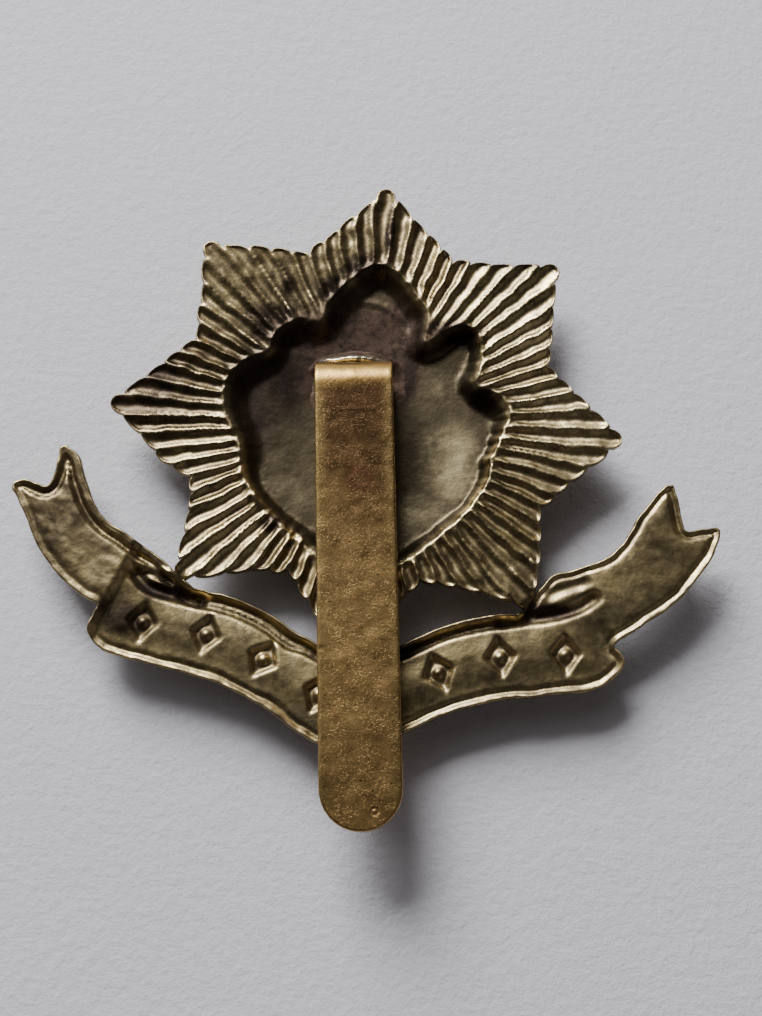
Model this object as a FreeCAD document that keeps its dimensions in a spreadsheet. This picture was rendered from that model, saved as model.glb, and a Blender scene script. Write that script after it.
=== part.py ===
import FreeCAD, Part
import Sketcher
import math
import os

# A die-struck cap badge with a slider fitting, lying on its face.
#
# Frame: +Z is up, out of the badge's back; +Y runs from the slider's free end to the star's top
# point; +X is across the badge. The origin is under the middle of the whole badge, on the
# surface that it lies on. Heights are measured from that surface. Everything is drawn about the
# star's centre, and each piece is then moved by star_centre_x and star_centre_y. The scroll was
# struck a little to one side of the star's axis, by scroll_shift.

SIZES = {
    "star_centre_x": -0.4,       # from the origin to the star's centre
    "star_centre_y": 5.91,
    "sheet_metal": 0.7,          # thickness of the struck plate
    # star
    "star_points": 8,
    "rays_per_point": 9,
    "flank_tip_radius": 20.8,    # where the straight flanks of a point would meet
    "valley_radius": 15.7,
    "tip_radius": 21.0,          # round end of the middle ray of a point
    "scallop_bulge": 0.38,       # how far the other rays' ends stand out of the flank
    "back_at_centre": 3.0,       # height to which the pleated cone's back falls at its centre
    "back_at_tip": 3.84,         # mean height of the back at the tip radius
    "pleat_half_depth": 0.25,    # at the tip radius; pleats shrink towards the centre
    "pleat_inner_radius": 7.2,
    # sunken centre
    "recess_radius": 10.9,
    "recess_floor": 1.85,        # height of the recess's floor
    "recess_wall_run": 0.5,      # how far the wall leans in, from rim to floor
    "recess_rim_height": 3.15,
    # scroll
    "panel_back": 3.3,
    "tail_back": 3.8,
    "scroll_shift": 0.4,
    "panel_half_length": 20.9,
    "panel_upper_y": -14.7,      # each long edge of the panel is level, with a bell-shaped dip
    "panel_upper_dip": 4.5,
    "panel_lower_y": -22.2,
    "panel_lower_dip": 4.4,
    "panel_lower_lift": 0.0045,  # parabola that lifts the ends of the lower edge
    "panel_dip_spread": 7.0,
    "border_width": 1.9,         # raised border on the front
    "border_rise": 0.6,
    "trench_inset": 0.45,        # hollow behind the border
    "trench_width": 0.9,
    "motif_length": 2.7,
    "motif_width": 1.9,
    "motif_rise": 0.5,
    "motif_wall": 0.35,
    "roll_length": 3.4,
    "roll_width": 1.2,
    "roll_depth": 0.45,
    # slider
    "strip_width": 6.35,
    "strip_metal": 1.0,
    "end_flat": 0.1,             # width left flat at the middle of the round end
    "slider_length": 37.75,
    "slider_skew": 5.8,
    "fold_x": -1.44,
    "fold_y": 4.75,
    "leg_top": 6.4,
    "foot_length": 8.0,
    "foot_film": 0.08,           # solder between the foot and the recess's floor
    # solder round the foot
    "bead_half_width": 4.7,
    "bead_half_length": 3.4,
    "bead_height": 0.9,
    "bead_below_fold": 1.2,
    # overlay on the front
    "device_inset": 0.35,
    "device_metal": 0.6,
    "device_film": 0.08,
    "device_rim_width": 1.1,
    "device_rim_rise": 0.47,
    "boss_radius": 4.4,
    "boss_rise": 0.4,
    "film_inset": 2.6,
}

# Lobes and notches of the recess's outline: angle from +X, spread (both in degrees), reach in mm.
RECESS_LOBES = [
    (90, 15, 2.9),
    (118, 6, -1.25),
    (147, 5, -0.7),
    (168, 14, 1.2),
    (195, 8, -0.4),
    (275, 22, 1.7),
    (349, 6, -0.4),
    (9, 9, 0.7),
    (25, 7, -1.3),
    (46, 9, 1.1),
    (60, 5, -2.6),
]

# Places where the star is trimmed short, beside the scroll: angle from +X, spread (both in
# degrees), depth in mm.
STAR_TRIMS = [(212, 13, 1.2), (247, 21, 2.0), (293, 21, 2.0)]

# Right tail of the scroll, about the scroll's own axis and the star's centre.
TAIL_INNER_EDGE = [(24.5, -3.8), (22.9, -5.9), (21.5, -8.6), (20.2, -10.1), (17.2, -11.3), (14.6, -13.2)]
TAIL_ROOT = [(13.4, -13.8), (14.0, -16.5)]
TAIL_OUTER_EDGE = [(20.4, -16.8), (24.0, -14.2), (26.8, -10.9), (28.6, -7.2)]
TAIL_NOTCH = [(25.5, -7.6)]

MOTIF_STATIONS = (2.3, 6.9, 11.6, 16.7)
ROLL_CENTRE = (17.2, -13.4)
ROLL_TURN = 26.0

document = FreeCAD.newDocument("cap_badge")
sheet = document.addObject("Spreadsheet::Sheet", "Sizes")
for row, (name, value) in enumerate(SIZES.items(), start=1):
    sheet.set(f"A{row}", name)
    sheet.set(f"B{row}", str(value))
    sheet.setAlias(f"B{row}", name)
document.recompute()


def size(name):
    """Value of one driving dimension, as the sheet holds it."""
    return float(sheet.get(name))


def bind(item, expressions):
    """Bind properties of a document object to expressions on the sheet."""
    for prop, expression in expressions.items():
        item.setExpression(prop, expression)
    return item


def feature(name, shape):
    """Document object that holds a shape made by Part's own functions."""
    item = document.addObject("Part::Feature", name)
    item.Shape = shape
    return item


def polar(radius, degrees, height=0.0):
    """Point at a radius and an angle from +X."""
    turn = math.radians(degrees)
    return FreeCAD.Vector(radius * math.cos(turn), radius * math.sin(turn), height)


def extrude(name, profile, base, top):
    """Prism between two heights given as expressions on the sheet."""
    item = document.addObject("Part::Extrusion", name)
    item.Base = profile
    item.DirMode = "Custom"
    item.Dir = FreeCAD.Vector(0, 0, 1)
    item.Solid = True
    bind(item, {"LengthFwd": f"({top}) - ({base})", "Placement.Base.z": base})
    return item


def boolean(kind, name, first, second):
    """Part::Cut or Part::Common of two objects."""
    item = document.addObject(f"Part::{kind}", name)
    item.Base = first
    item.Tool = second
    return item


def fuse(name, items):
    """Union of several objects."""
    item = document.addObject("Part::MultiFuse", name)
    item.Shapes = items
    return item


def face_of(edges, name):
    """Flat face inside a closed run of edges."""
    return feature(name, Part.Face(Part.Wire(edges)))


def scroll_face(name, edges):
    """Flat face inside a closed run of edges drawn about the scroll's own axis."""
    face = Part.Face(Part.Wire(edges))
    face.translate(FreeCAD.Vector(size("scroll_shift"), 0, 0))
    return feature(name, face)


def spline(points):
    """Smooth curve through points."""
    curve = Part.BSplineCurve()
    curve.interpolate([FreeCAD.Vector(*point) for point in points])
    return curve.toShape()


# --- pleated star -------------------------------------------------------------------------------

rays = int(size("star_points") * size("rays_per_point"))
ray_step = 360.0 / rays
point_step = 360.0 / size("star_points")


def flank_radius(degrees):
    """Radius of the star's straight flank at an angle from its nearest point."""
    tip = FreeCAD.Vector(size("flank_tip_radius"), 0, 0)
    valley = polar(size("valley_radius"), point_step / 2)
    slope = math.tan(math.radians(degrees))
    share = slope * tip.x / (valley.y - slope * (valley.x - tip.x))
    return (tip + (valley - tip) * share).Length


def trim(degrees):
    """Depth to which the star's edge is trimmed short at an angle."""
    total = 0.0
    for middle, spread, depth in STAR_TRIMS:
        off = (degrees - middle + 180.0) % 360.0 - 180.0
        total += depth * math.exp(-((off / spread) ** 4))
    return total


def star_outline():
    """Arcs round the star, one for the round end of each ray."""
    arcs = []
    for ray in range(rays):
        middle = ray * ray_step
        from_point = abs((middle + point_step / 2) % point_step - point_step / 2)
        ends = []
        for side in (middle - ray_step / 2, middle + ray_step / 2):
            off = abs((side + point_step / 2) % point_step - point_step / 2)
            ends.append(polar(flank_radius(off) - trim(side), side))
        reach = flank_radius(from_point) + size("scallop_bulge")
        if from_point < ray_step / 2:
            reach = size("tip_radius")
        arcs.append(Part.Arc(ends[0], polar(reach - trim(middle), middle), ends[1]).toShape())
    return arcs


def pleated_ring():
    """Sheet of flat facets that zigzag round the centre, every facet aimed at one apex."""
    tip = size("tip_radius")
    slope = (size("back_at_tip") - size("back_at_centre")) / tip
    radii = (size("pleat_inner_radius"), tip + 1.0)
    corners = []
    for layer in (0.0, -size("sheet_metal")):
        for radius in radii:
            ring = []
            for fold in range(2 * rays):
                wave = 1.0 if fold % 2 else -1.0
                lean = slope + wave * size("pleat_half_depth") / tip
                height = size("back_at_centre") + lean * radius + layer
                ring.append(polar(radius, fold * ray_step / 2, height))
            corners.append(ring)
    inner_back, outer_back, inner_front, outer_front = corners
    faces = []
    for near, far in (
        (inner_back, outer_back),
        (inner_front, outer_front),
        (inner_back, inner_front),
        (outer_back, outer_front),
    ):
        for fold in range(2 * rays):
            after = (fold + 1) % (2 * rays)
            loop = [near[fold], far[fold], far[after], near[after], near[fold]]
            faces.append(Part.Face(Part.makePolygon(loop)))
    return Part.Solid(Part.Shell(faces))


pleats = feature("pleated_ring", pleated_ring())
blank = extrude("star_blank", face_of(star_outline(), "star_outline"), "0", "Sizes.leg_top")
star = boolean("Common", "star", pleats, blank)


# --- sunken centre ------------------------------------------------------------------------------


def recess_reach(degrees):
    """Radius of the recess's outline: a circle with bell-shaped lobes and notches added."""
    radius = size("recess_radius")
    for middle, spread, reach in RECESS_LOBES:
        off = (degrees - middle + 180.0) % 360.0 - 180.0
        radius += reach * math.exp(-((off / spread) ** 2))
    return radius


def lobed_wire(name, inset, height):
    """Closed outline of the recess, drawn in by inset, at a height."""
    points = [polar(recess_reach(turn) - inset, turn, height) for turn in range(0, 360, 5)]
    curve = Part.BSplineCurve()
    curve.interpolate(Points=points, PeriodicFlag=True)
    return feature(name, Part.Wire([curve.toShape()]))


def lobed_loft(name, low, high):
    """Solid between two lobed outlines, each given as an inset and a height."""
    item = document.addObject("Part::Loft", name)
    item.Sections = [lobed_wire(f"{name}_low", *low), lobed_wire(f"{name}_high", *high)]
    item.Solid = True
    item.Ruled = True
    return item


floor_height = size("recess_floor")
floor_front = floor_height - size("sheet_metal")
wall_run = size("recess_wall_run")
wall_lean = wall_run / (size("recess_rim_height") - floor_height)
above = size("back_at_tip") + 0.5
cup = lobed_loft(
    "cup",
    (wall_run - size("sheet_metal") * 0.8, floor_front),
    (-size("sheet_metal") * 0.8, size("recess_rim_height")),
)
hollow = lobed_loft(
    "cup_hollow",
    (wall_run, floor_height),
    (wall_run - wall_lean * (above - floor_height), above),
)


# --- scroll -------------------------------------------------------------------------------------


def dip(x):
    """Bell-shaped share of the panel's dip at a station."""
    return math.exp(-((x / size("panel_dip_spread")) ** 2))


def upper_edge(x):
    """Y of the panel's edge next to the star."""
    return size("panel_upper_y") - size("panel_upper_dip") * dip(x)


def lower_edge(x):
    """Y of the panel's edge away from the star."""
    return size("panel_lower_y") + size("panel_lower_lift") * x * x - size("panel_lower_dip") * dip(x)


def panel_line(x):
    """Y of the panel's centreline."""
    return (upper_edge(x) + lower_edge(x)) / 2


def normal(edge, x):
    """Unit normal of an edge at a station, towards the star."""
    step = 0.01
    rise = (edge(x + step) - edge(x - step)) / (2 * step)
    return FreeCAD.Vector(-rise, 1, 0).normalize()


def panel_face(name, inset):
    """Face of the panel, drawn in by inset from its edges and ends."""
    reach = size("panel_half_length") - inset
    stations = [reach * step / 14 for step in range(-14, 15)]
    upper, lower = (
        [FreeCAD.Vector(x, edge(x), 0) - normal(edge, x) * side * inset for x in stations[::side]]
        for edge, side in ((upper_edge, 1), (lower_edge, -1))
    )
    outline = [
        spline(upper),
        Part.LineSegment(upper[-1], lower[0]).toShape(),
        spline(lower),
        Part.LineSegment(lower[-1], upper[0]).toShape(),
    ]
    return scroll_face(name, outline)


def band(name, outer_inset, inner_inset, base, top):
    """Prism that runs round the panel between two insets."""
    outer = extrude(f"{name}_outer", panel_face(f"{name}_outer_face", outer_inset), base, top)
    inner = extrude(f"{name}_inner", panel_face(f"{name}_inner_face", inner_inset), base, top)
    return boolean("Cut", name, outer, inner)


def tail_edges():
    """Right tail: two curved edges, a forked end and a root inside the panel."""
    straight = [TAIL_INNER_EDGE[-1], *TAIL_ROOT, TAIL_OUTER_EDGE[0]]
    fork = [TAIL_OUTER_EDGE[-1], *TAIL_NOTCH, TAIL_INNER_EDGE[0]]
    edges = [spline([(x, y, 0) for x, y in TAIL_INNER_EDGE])]
    for start, end in zip(straight, straight[1:]):
        edges.append(Part.LineSegment(FreeCAD.Vector(*start, 0), FreeCAD.Vector(*end, 0)).toShape())
    edges.append(spline([(x, y, 0) for x, y in TAIL_OUTER_EDGE]))
    for start, end in zip(fork, fork[1:]):
        edges.append(Part.LineSegment(FreeCAD.Vector(*start, 0), FreeCAD.Vector(*end, 0)).toShape())
    return edges


def mirrored(name, item):
    """The same object on the other side of the star's axis."""
    twin = document.addObject("Part::Mirroring", name)
    twin.Source = item
    twin.Normal = FreeCAD.Vector(1, 0, 0)
    return bind(twin, {"Base.x": "Sizes.scroll_shift"})


def lozenge(name, x, grow):
    """Face of a lozenge that stands across the panel at a station."""
    along = normal(panel_line, x) * (size("motif_length") / 2 + grow)
    across = FreeCAD.Vector(along.y, -along.x, 0).normalize() * (size("motif_width") / 2 + grow)
    middle = FreeCAD.Vector(x, panel_line(x), 0)
    corners = [middle + along, middle + across, middle - along, middle - across, middle + along]
    return scroll_face(name, Part.makePolygon(corners).Edges)


def roll_face(name, grow):
    """Ellipse where the scroll rolls over at the root of the right tail."""
    half_length, half_width = size("roll_length") / 2, size("roll_width") / 2
    oval = Part.Ellipse(FreeCAD.Vector(0, 0, 0), half_length + grow, half_width + grow)
    edge = oval.toShape()
    edge.rotate(FreeCAD.Vector(0, 0, 0), FreeCAD.Vector(0, 0, 1), ROLL_TURN)
    edge.translate(FreeCAD.Vector(*ROLL_CENTRE, 0))
    return scroll_face(name, [edge])


panel_front = "Sizes.panel_back - Sizes.sheet_metal"
tail_front = "Sizes.tail_back - Sizes.sheet_metal"
border_front = f"{panel_front} - Sizes.border_rise"
trench_floor = "Sizes.panel_back - Sizes.border_rise"
motif_floor = "Sizes.panel_back - Sizes.motif_rise"
trench_inset = size("trench_inset")
panel = extrude("panel", panel_face("panel_face", 0.0), panel_front, "Sizes.panel_back")
border = band("border", 0.0, size("border_width"), border_front, panel_front)
trench = band(
    "trench", trench_inset, trench_inset + size("trench_width"), trench_floor, "Sizes.panel_back"
)
tail = extrude("tail_right", scroll_face("tail_outline", tail_edges()), tail_front, "Sizes.tail_back")
roll_front = f"{tail_front} - Sizes.roll_depth"
roll_back = "Sizes.tail_back - Sizes.roll_depth"
roll = extrude("roll_right", roll_face("roll_face", size("motif_wall")), roll_front, tail_front)
roll_hollow = extrude("roll_hollow_right", roll_face("roll_hollow_face", 0.0), roll_back, "Sizes.tail_back")
raised = [panel, border, tail, mirrored("tail_left", tail), roll, mirrored("roll_left", roll)]
sunk = [hollow, trench, roll_hollow, mirrored("roll_hollow_left", roll_hollow)]
for number, station in enumerate(MOTIF_STATIONS, start=1):
    for side, x in (("right", station), ("left", -station)):
        name = f"motif_{side}_{number}"
        plump = lozenge(f"{name}_outline", x, size("motif_wall"))
        bare = lozenge(f"{name}_hollow_outline", x, 0.0)
        raised.append(extrude(name, plump, f"{panel_front} - Sizes.motif_rise", panel_front))
        sunk.append(extrude(f"{name}_hollow", bare, motif_floor, "Sizes.panel_back"))

plate = boolean("Cut", "star_scroll_plate", fuse("struck_sheet", [star, cup, *raised]), fuse("hollows", sunk))


# --- slider -------------------------------------------------------------------------------------


def origin_plane(body, role):
    """One of a body's own origin planes."""
    for item in body.Origin.OriginFeatures:
        if item.Role == role:
            return item
    raise ValueError(role)


def new_body(name):
    """Empty PartDesign body."""
    return document.addObject("PartDesign::Body", name)


def flat_sketch(body, name, role):
    """Sketch on one of the body's origin planes."""
    sketch = body.newObject("Sketcher::SketchObject", name)
    sketch.AttachmentSupport = [(origin_plane(body, role), "")]
    sketch.MapMode = "FlatFace"
    return sketch


slider = new_body("slider")
outline = flat_sketch(slider, "strip_side", "YZ_Plane")
fold_outer = (size("leg_top") - floor_height - size("foot_film")) / 2
fold_inner = fold_outer - size("strip_metal")
fold_height = size("leg_top") - fold_outer
leg_end = -size("slider_length")
foot_end = -fold_outer - size("foot_length")


def arc_to_right(radius):
    """Half circle of the fold, from its foot up to its leg."""
    circle = Part.Circle(FreeCAD.Vector(-fold_outer, fold_height, 0), FreeCAD.Vector(0, 0, 1), radius)
    return Part.ArcOfCircle(circle, -math.pi / 2, math.pi / 2)


def line(start, end):
    """Straight edge of a sketch."""
    return Part.LineSegment(FreeCAD.Vector(*start, 0), FreeCAD.Vector(*end, 0))


heights = [fold_height + reach for reach in (fold_outer, fold_inner, -fold_inner, -fold_outer)]
leg_back, leg_under, foot_over, foot_under = heights
OUTER_ARC, LEG_BACK, LEG_TIP, LEG_UNDER, INNER_ARC, FOOT_OVER, FOOT_TIP, FOOT_UNDER = range(8)
outline.addGeometry(
    [
        arc_to_right(fold_outer),
        line((-fold_outer, leg_back), (leg_end, leg_back)),
        line((leg_end, leg_back), (leg_end, leg_under)),
        line((leg_end, leg_under), (-fold_outer, leg_under)),
        arc_to_right(fold_inner),
        line((-fold_outer, foot_over), (foot_end, foot_over)),
        line((foot_end, foot_over), (foot_end, foot_under)),
        line((foot_end, foot_under), (-fold_outer, foot_under)),
    ],
    False,
)
START, END, CENTRE = 1, 2, 3
joined = [
    (OUTER_ARC, END, LEG_BACK, START),
    (LEG_BACK, END, LEG_TIP, START),
    (LEG_TIP, END, LEG_UNDER, START),
    (LEG_UNDER, END, INNER_ARC, END),
    (INNER_ARC, START, FOOT_OVER, START),
    (FOOT_OVER, END, FOOT_TIP, START),
    (FOOT_TIP, END, FOOT_UNDER, START),
    (FOOT_UNDER, END, OUTER_ARC, START),
    (OUTER_ARC, CENTRE, INNER_ARC, CENTRE),
]
rules = [Sketcher.Constraint("Coincident", *ends) for ends in joined]
for flat in (LEG_BACK, LEG_UNDER, FOOT_OVER, FOOT_UNDER):
    rules.append(Sketcher.Constraint("Horizontal", flat))
for upright in (LEG_TIP, FOOT_TIP):
    rules.append(Sketcher.Constraint("Vertical", upright))
for arc in (OUTER_ARC, INNER_ARC):
    for end in (START, END):
        rules.append(Sketcher.Constraint("Vertical", arc, end, arc, CENTRE))
outline.addConstraint(rules)
outer_radius = "(Sizes.leg_top - Sizes.recess_floor - Sizes.foot_film) / 2"
measures = {
    "fold_outer": (("Radius", OUTER_ARC, fold_outer), outer_radius),
    "fold_inner": (("Radius", INNER_ARC, fold_inner), f"{outer_radius} - Sizes.strip_metal"),
    "fold_setback": (("DistanceX", OUTER_ARC, CENTRE, -1, 1, fold_outer), outer_radius),
    "fold_height": (("DistanceY", -1, 1, OUTER_ARC, CENTRE, fold_height), f"Sizes.leg_top - {outer_radius}"),
    "leg_reach": (("DistanceX", LEG_TIP, START, -1, 1, -leg_end), "Sizes.slider_length"),
    "foot_reach": (("DistanceX", FOOT_TIP, START, -1, 1, -foot_end), f"{outer_radius} + Sizes.foot_length"),
}
for name, (rule, expression) in measures.items():
    index = outline.addConstraint(Sketcher.Constraint(*rule))
    outline.renameConstraint(index, name)
    outline.setExpression(f"Constraints.{name}", expression)
strip = slider.newObject("PartDesign::Pad", "strip")
strip.Profile = outline
strip.SideType = "Symmetric"
bind(strip, {"Length": "Sizes.strip_width"})
document.recompute()


def edges_where(shape, test):
    """Names of the edges that pass a test."""
    return [f"Edge{number}" for number, edge in enumerate(shape.Edges, start=1) if test(edge)]


def is_end_corner(edge):
    """Upright edge at the free end of the strip."""
    box = edge.BoundBox
    return box.YMax < leg_end + 0.01 and box.ZLength > size("strip_metal") / 2 and box.XLength < 0.01


round_end = slider.newObject("PartDesign::Fillet", "round_end")
round_end.Base = (strip, edges_where(strip.Shape, is_end_corner))
bind(round_end, {"Radius": "Sizes.strip_width / 2 - Sizes.end_flat / 2"})
document.recompute()
slider.Placement = FreeCAD.Placement(FreeCAD.Vector(0, 0, 0), FreeCAD.Rotation(FreeCAD.Vector(0, 0, 1), 1))
bind(
    slider,
    {
        "Placement.Rotation.Angle": "Sizes.slider_skew",
        "Placement.Base.x": "Sizes.fold_x + Sizes.star_centre_x",
        "Placement.Base.y": "Sizes.fold_y + Sizes.star_centre_y",
    },
)


# --- solder round the slider's foot -------------------------------------------------------------

puddle = document.addObject("Part::Ellipsoid", "puddle")
puddle.Angle1 = 0
bind(
    puddle,
    {
        "Radius1": "Sizes.bead_height",
        "Radius2": "Sizes.bead_half_width",
        "Radius3": "Sizes.bead_half_length",
        "Placement.Base.x": "Sizes.fold_x + Sizes.star_centre_x",
        "Placement.Base.y": "Sizes.fold_y + Sizes.star_centre_y - Sizes.bead_below_fold",
        "Placement.Base.z": "Sizes.recess_floor",
    },
)
bead = boolean("Cut", "slider_braze", puddle, slider)


# --- overlay on the front -----------------------------------------------------------------------


def lobed_face(name, inset):
    """Face inside the recess's outline, drawn in by inset."""
    return feature(name, Part.Face(lobed_wire(f"{name}_edge", inset, 0.0).Shape))


rim_inset = size("device_inset") + size("device_rim_width")
device_back = "Sizes.recess_floor - Sizes.sheet_metal - Sizes.device_film"
device_front = f"{device_back} - Sizes.device_metal"
base = extrude("device_base", lobed_face("device_outline", size("device_inset")), device_front, device_back)
rim_outer = extrude(
    "device_rim_outer",
    lobed_face("device_rim_outline", size("device_inset")),
    f"{device_front} - Sizes.device_rim_rise",
    device_front,
)
rim_inner = extrude(
    "device_rim_inner",
    lobed_face("device_rim_inside", rim_inset),
    f"{device_front} - Sizes.device_rim_rise",
    device_front,
)
boss = document.addObject("Part::Ellipsoid", "device_boss")
boss.Angle2 = 0
bind(
    boss,
    {
        "Radius1": "Sizes.boss_rise",
        "Radius2": "Sizes.boss_radius",
        "Radius3": "Sizes.boss_radius",
        "Placement.Base.z": device_front,
    },
)
device = fuse("centre_device", [base, boolean("Cut", "device_rim", rim_outer, rim_inner), boss])
film = extrude(
    "device_braze",
    lobed_face("film_outline", size("film_inset")),
    device_back,
    f"{device_back} + Sizes.device_film",
)


# --- finish -------------------------------------------------------------------------------------

for piece in (plate, device, film):
    bind(piece, {"Placement.Base.x": "Sizes.star_centre_x", "Placement.Base.y": "Sizes.star_centre_y"})
document.recompute()

for item in document.Objects:
    if "Invalid" in item.State or "Error" in item.State:
        raise RuntimeError(f"{item.Name}: {item.State}")

os.makedirs("parts", exist_ok=True)
whole = FreeCAD.BoundBox()
for piece in (plate, device, film, slider, bead):
    shape = piece.Shape
    if shape.isNull() or not shape.isValid() or len(shape.Solids) != 1:
        raise RuntimeError(f"{piece.Label}: not one valid solid")
    shape.exportStep(f"parts/{piece.Label}.step")
    whole.add(shape.BoundBox)
    print(piece.Label, round(shape.Volume, 2), shape.BoundBox)
print("whole", whole)
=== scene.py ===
"""A die-struck cap badge lying on its face: its star, scroll, slider, solder and overlay.

Lengths are in millimetres about the star's centre until a mesh is made, and in metres after that.
"""

import logging
from dataclasses import dataclass, field
from enum import Enum

import bmesh
import bpy
import numpy as np
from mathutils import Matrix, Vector
from mathutils.geometry import delaunay_2d_cdt


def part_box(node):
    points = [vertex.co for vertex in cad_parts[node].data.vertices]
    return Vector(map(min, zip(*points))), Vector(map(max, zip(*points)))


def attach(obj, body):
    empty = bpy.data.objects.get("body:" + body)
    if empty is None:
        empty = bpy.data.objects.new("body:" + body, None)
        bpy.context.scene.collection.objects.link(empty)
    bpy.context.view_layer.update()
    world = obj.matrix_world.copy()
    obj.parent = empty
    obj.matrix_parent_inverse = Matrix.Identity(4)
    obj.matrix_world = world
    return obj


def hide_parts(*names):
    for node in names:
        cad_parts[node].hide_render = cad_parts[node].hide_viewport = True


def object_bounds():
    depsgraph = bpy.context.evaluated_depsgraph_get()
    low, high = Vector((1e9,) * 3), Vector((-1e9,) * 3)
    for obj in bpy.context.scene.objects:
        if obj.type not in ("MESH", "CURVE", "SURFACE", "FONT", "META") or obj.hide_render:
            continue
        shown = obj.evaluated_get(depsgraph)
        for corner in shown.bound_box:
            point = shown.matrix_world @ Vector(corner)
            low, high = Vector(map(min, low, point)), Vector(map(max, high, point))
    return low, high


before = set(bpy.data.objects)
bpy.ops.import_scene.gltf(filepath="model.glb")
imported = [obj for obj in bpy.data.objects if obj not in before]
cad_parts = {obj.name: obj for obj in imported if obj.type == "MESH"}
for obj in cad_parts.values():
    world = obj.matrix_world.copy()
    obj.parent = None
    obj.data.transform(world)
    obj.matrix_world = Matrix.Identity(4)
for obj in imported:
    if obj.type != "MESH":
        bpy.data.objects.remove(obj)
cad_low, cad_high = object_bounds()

log = logging.getLogger("cap_badge")

MM = 0.001
Array = np.ndarray
Points = list[tuple[float, float]]
Stretches = tuple[tuple[float, float, float], ...]

PLATE_LOW, PLATE_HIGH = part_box("star_scroll_plate")
SLIDER_LOW, SLIDER_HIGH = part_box("slider")
STAR_TIP_RADIUS = 21.0
SCROLL_SHIFT = 0.4
STAR_CENTRE = (
    (PLATE_LOW.x + PLATE_HIGH.x) / 2 / MM - SCROLL_SHIFT,
    PLATE_HIGH.y / MM - STAR_TIP_RADIUS,
)
LEG_TOP = SLIDER_HIGH.z / MM
FOOT_BOTTOM = SLIDER_LOW.z / MM


# --- shapes worked out on arrays -----------------------------------------------------------------


def smooth_step(value: Array, low: float, high: float) -> Array:
    """Cubic ramp from 0 at low to 1 at high.

    Args:
        value: Numbers to map.
        low: Where the ramp starts.
        high: Where the ramp ends.

    Returns:
        Share from 0 to 1, of the value's shape.
    """
    share = np.clip((value - low) / (high - low), 0.0, 1.0)
    return share * share * (3.0 - 2.0 * share)


def bell(value: Array, spread: float, power: float = 2.0) -> Array:
    """Bell curve exp(-|value / spread| ** power); a power over 2 makes its top flatter."""
    return np.exp(-(np.abs(value / spread) ** power))


def turned_from(turn: Array, middle: float) -> Array:
    """Turn from a middle angle to each angle, in degrees from -180 to 180."""
    return (turn - middle + 180.0) % 360.0 - 180.0


def stretches_round(turn: Array, stretches: Stretches, power: float) -> Array:
    """Sum of one bell for each stretch of a round outline.

    Args:
        turn: Angles in degrees.
        stretches: Middle angle, spread in degrees, and amount of each stretch.
        power: Power of the bells.

    Returns:
        Sums, of the angles' shape.
    """
    total = np.zeros_like(turn, dtype=float)
    for middle, spread, amount in stretches:
        total += amount * bell(turned_from(turn, middle), spread, power)
    return total


def round_centre(radius: Array, turn: Array) -> Array:
    """Places at a radius and an angle in degrees, with x and y on the last axis."""
    return np.stack([radius * np.cos(np.radians(turn)), radius * np.sin(np.radians(turn))], -1)


def right_of(along: Array) -> Array:
    """Unit vectors to the right of some directions, which is outward on an anticlockwise loop."""
    right = np.stack([along[:, 1], -along[:, 0]], 1)
    return right / np.maximum(np.linalg.norm(right, axis=1), 1e-9)[:, None]


def lattice_noise(x: Array, y: Array, spacing: float, seed: int) -> Array:
    """Smooth random height: seeded values on a square lattice, blended with a quintic fade.

    Args:
        x: First coordinate of each point.
        y: Second coordinate of each point.
        spacing: Distance between the lattice's values.
        seed: Seed of the lattice.

    Returns:
        Heights from -1 to 1.
    """
    side = 128
    values = np.random.default_rng(seed).uniform(-1.0, 1.0, (side, side))
    column, row = np.floor(x / spacing).astype(int), np.floor(y / spacing).astype(int)
    across, along = x / spacing - column, y / spacing - row
    fade_across = across**3 * (across * (across * 6 - 15) + 10)
    fade_along = along**3 * (along * (along * 6 - 15) + 10)
    near, far = column % side, (column + 1) % side
    low, high = row % side, (row + 1) % side
    bottom = values[near, low] * (1 - fade_across) + values[far, low] * fade_across
    top = values[near, high] * (1 - fade_across) + values[far, high] * fade_across
    return bottom * (1 - fade_along) + top * fade_along


def rough_noise(x: Array, y: Array, spacing: float, seed: int) -> Array:
    """Three octaves of lattice noise, each half as wide and half as high as the one before.

    Args:
        x: First coordinate of each point.
        y: Second coordinate of each point.
        spacing: Distance between the widest octave's values.
        seed: Seed of the widest octave.

    Returns:
        Heights from -1 to 1.
    """
    total = lattice_noise(x, y, spacing, seed)
    total = total + 0.5 * lattice_noise(x, y, spacing / 2, seed + 1)
    return (total + 0.25 * lattice_noise(x, y, spacing / 4, seed + 2)) / 1.75


def curve_through(points: Points, spacing: float) -> Array:
    """Catmull-Rom curve through points, cut into even steps.

    Args:
        points: Points that the curve passes.
        spacing: Length of a step, in the points' unit.

    Returns:
        Array of points, first and last included.
    """
    knots = np.array(points, float)
    padded = np.vstack([2 * knots[0] - knots[1], knots, 2 * knots[-1] - knots[-2]])
    share = np.linspace(0.0, 1.0, 24, endpoint=False)[None, :, None]
    before, start, end, after = (padded[i : len(padded) - 3 + i][:, None, :] for i in range(4))
    dense = 0.5 * (
        2 * start
        + (end - before) * share
        + (2 * before - 5 * start + 4 * end - after) * share**2
        + (3 * start - before - 3 * end + after) * share**3
    )
    dense = np.vstack([dense.reshape(-1, knots.shape[1]), knots[-1]])
    run = np.concatenate([[0.0], np.cumsum(np.linalg.norm(np.diff(dense, axis=0), axis=1))])
    steps = np.linspace(0.0, run[-1], max(2, int(round(run[-1] / spacing)) + 1))
    return np.stack([np.interp(steps, run, axis) for axis in dense.T], axis=1)


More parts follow.
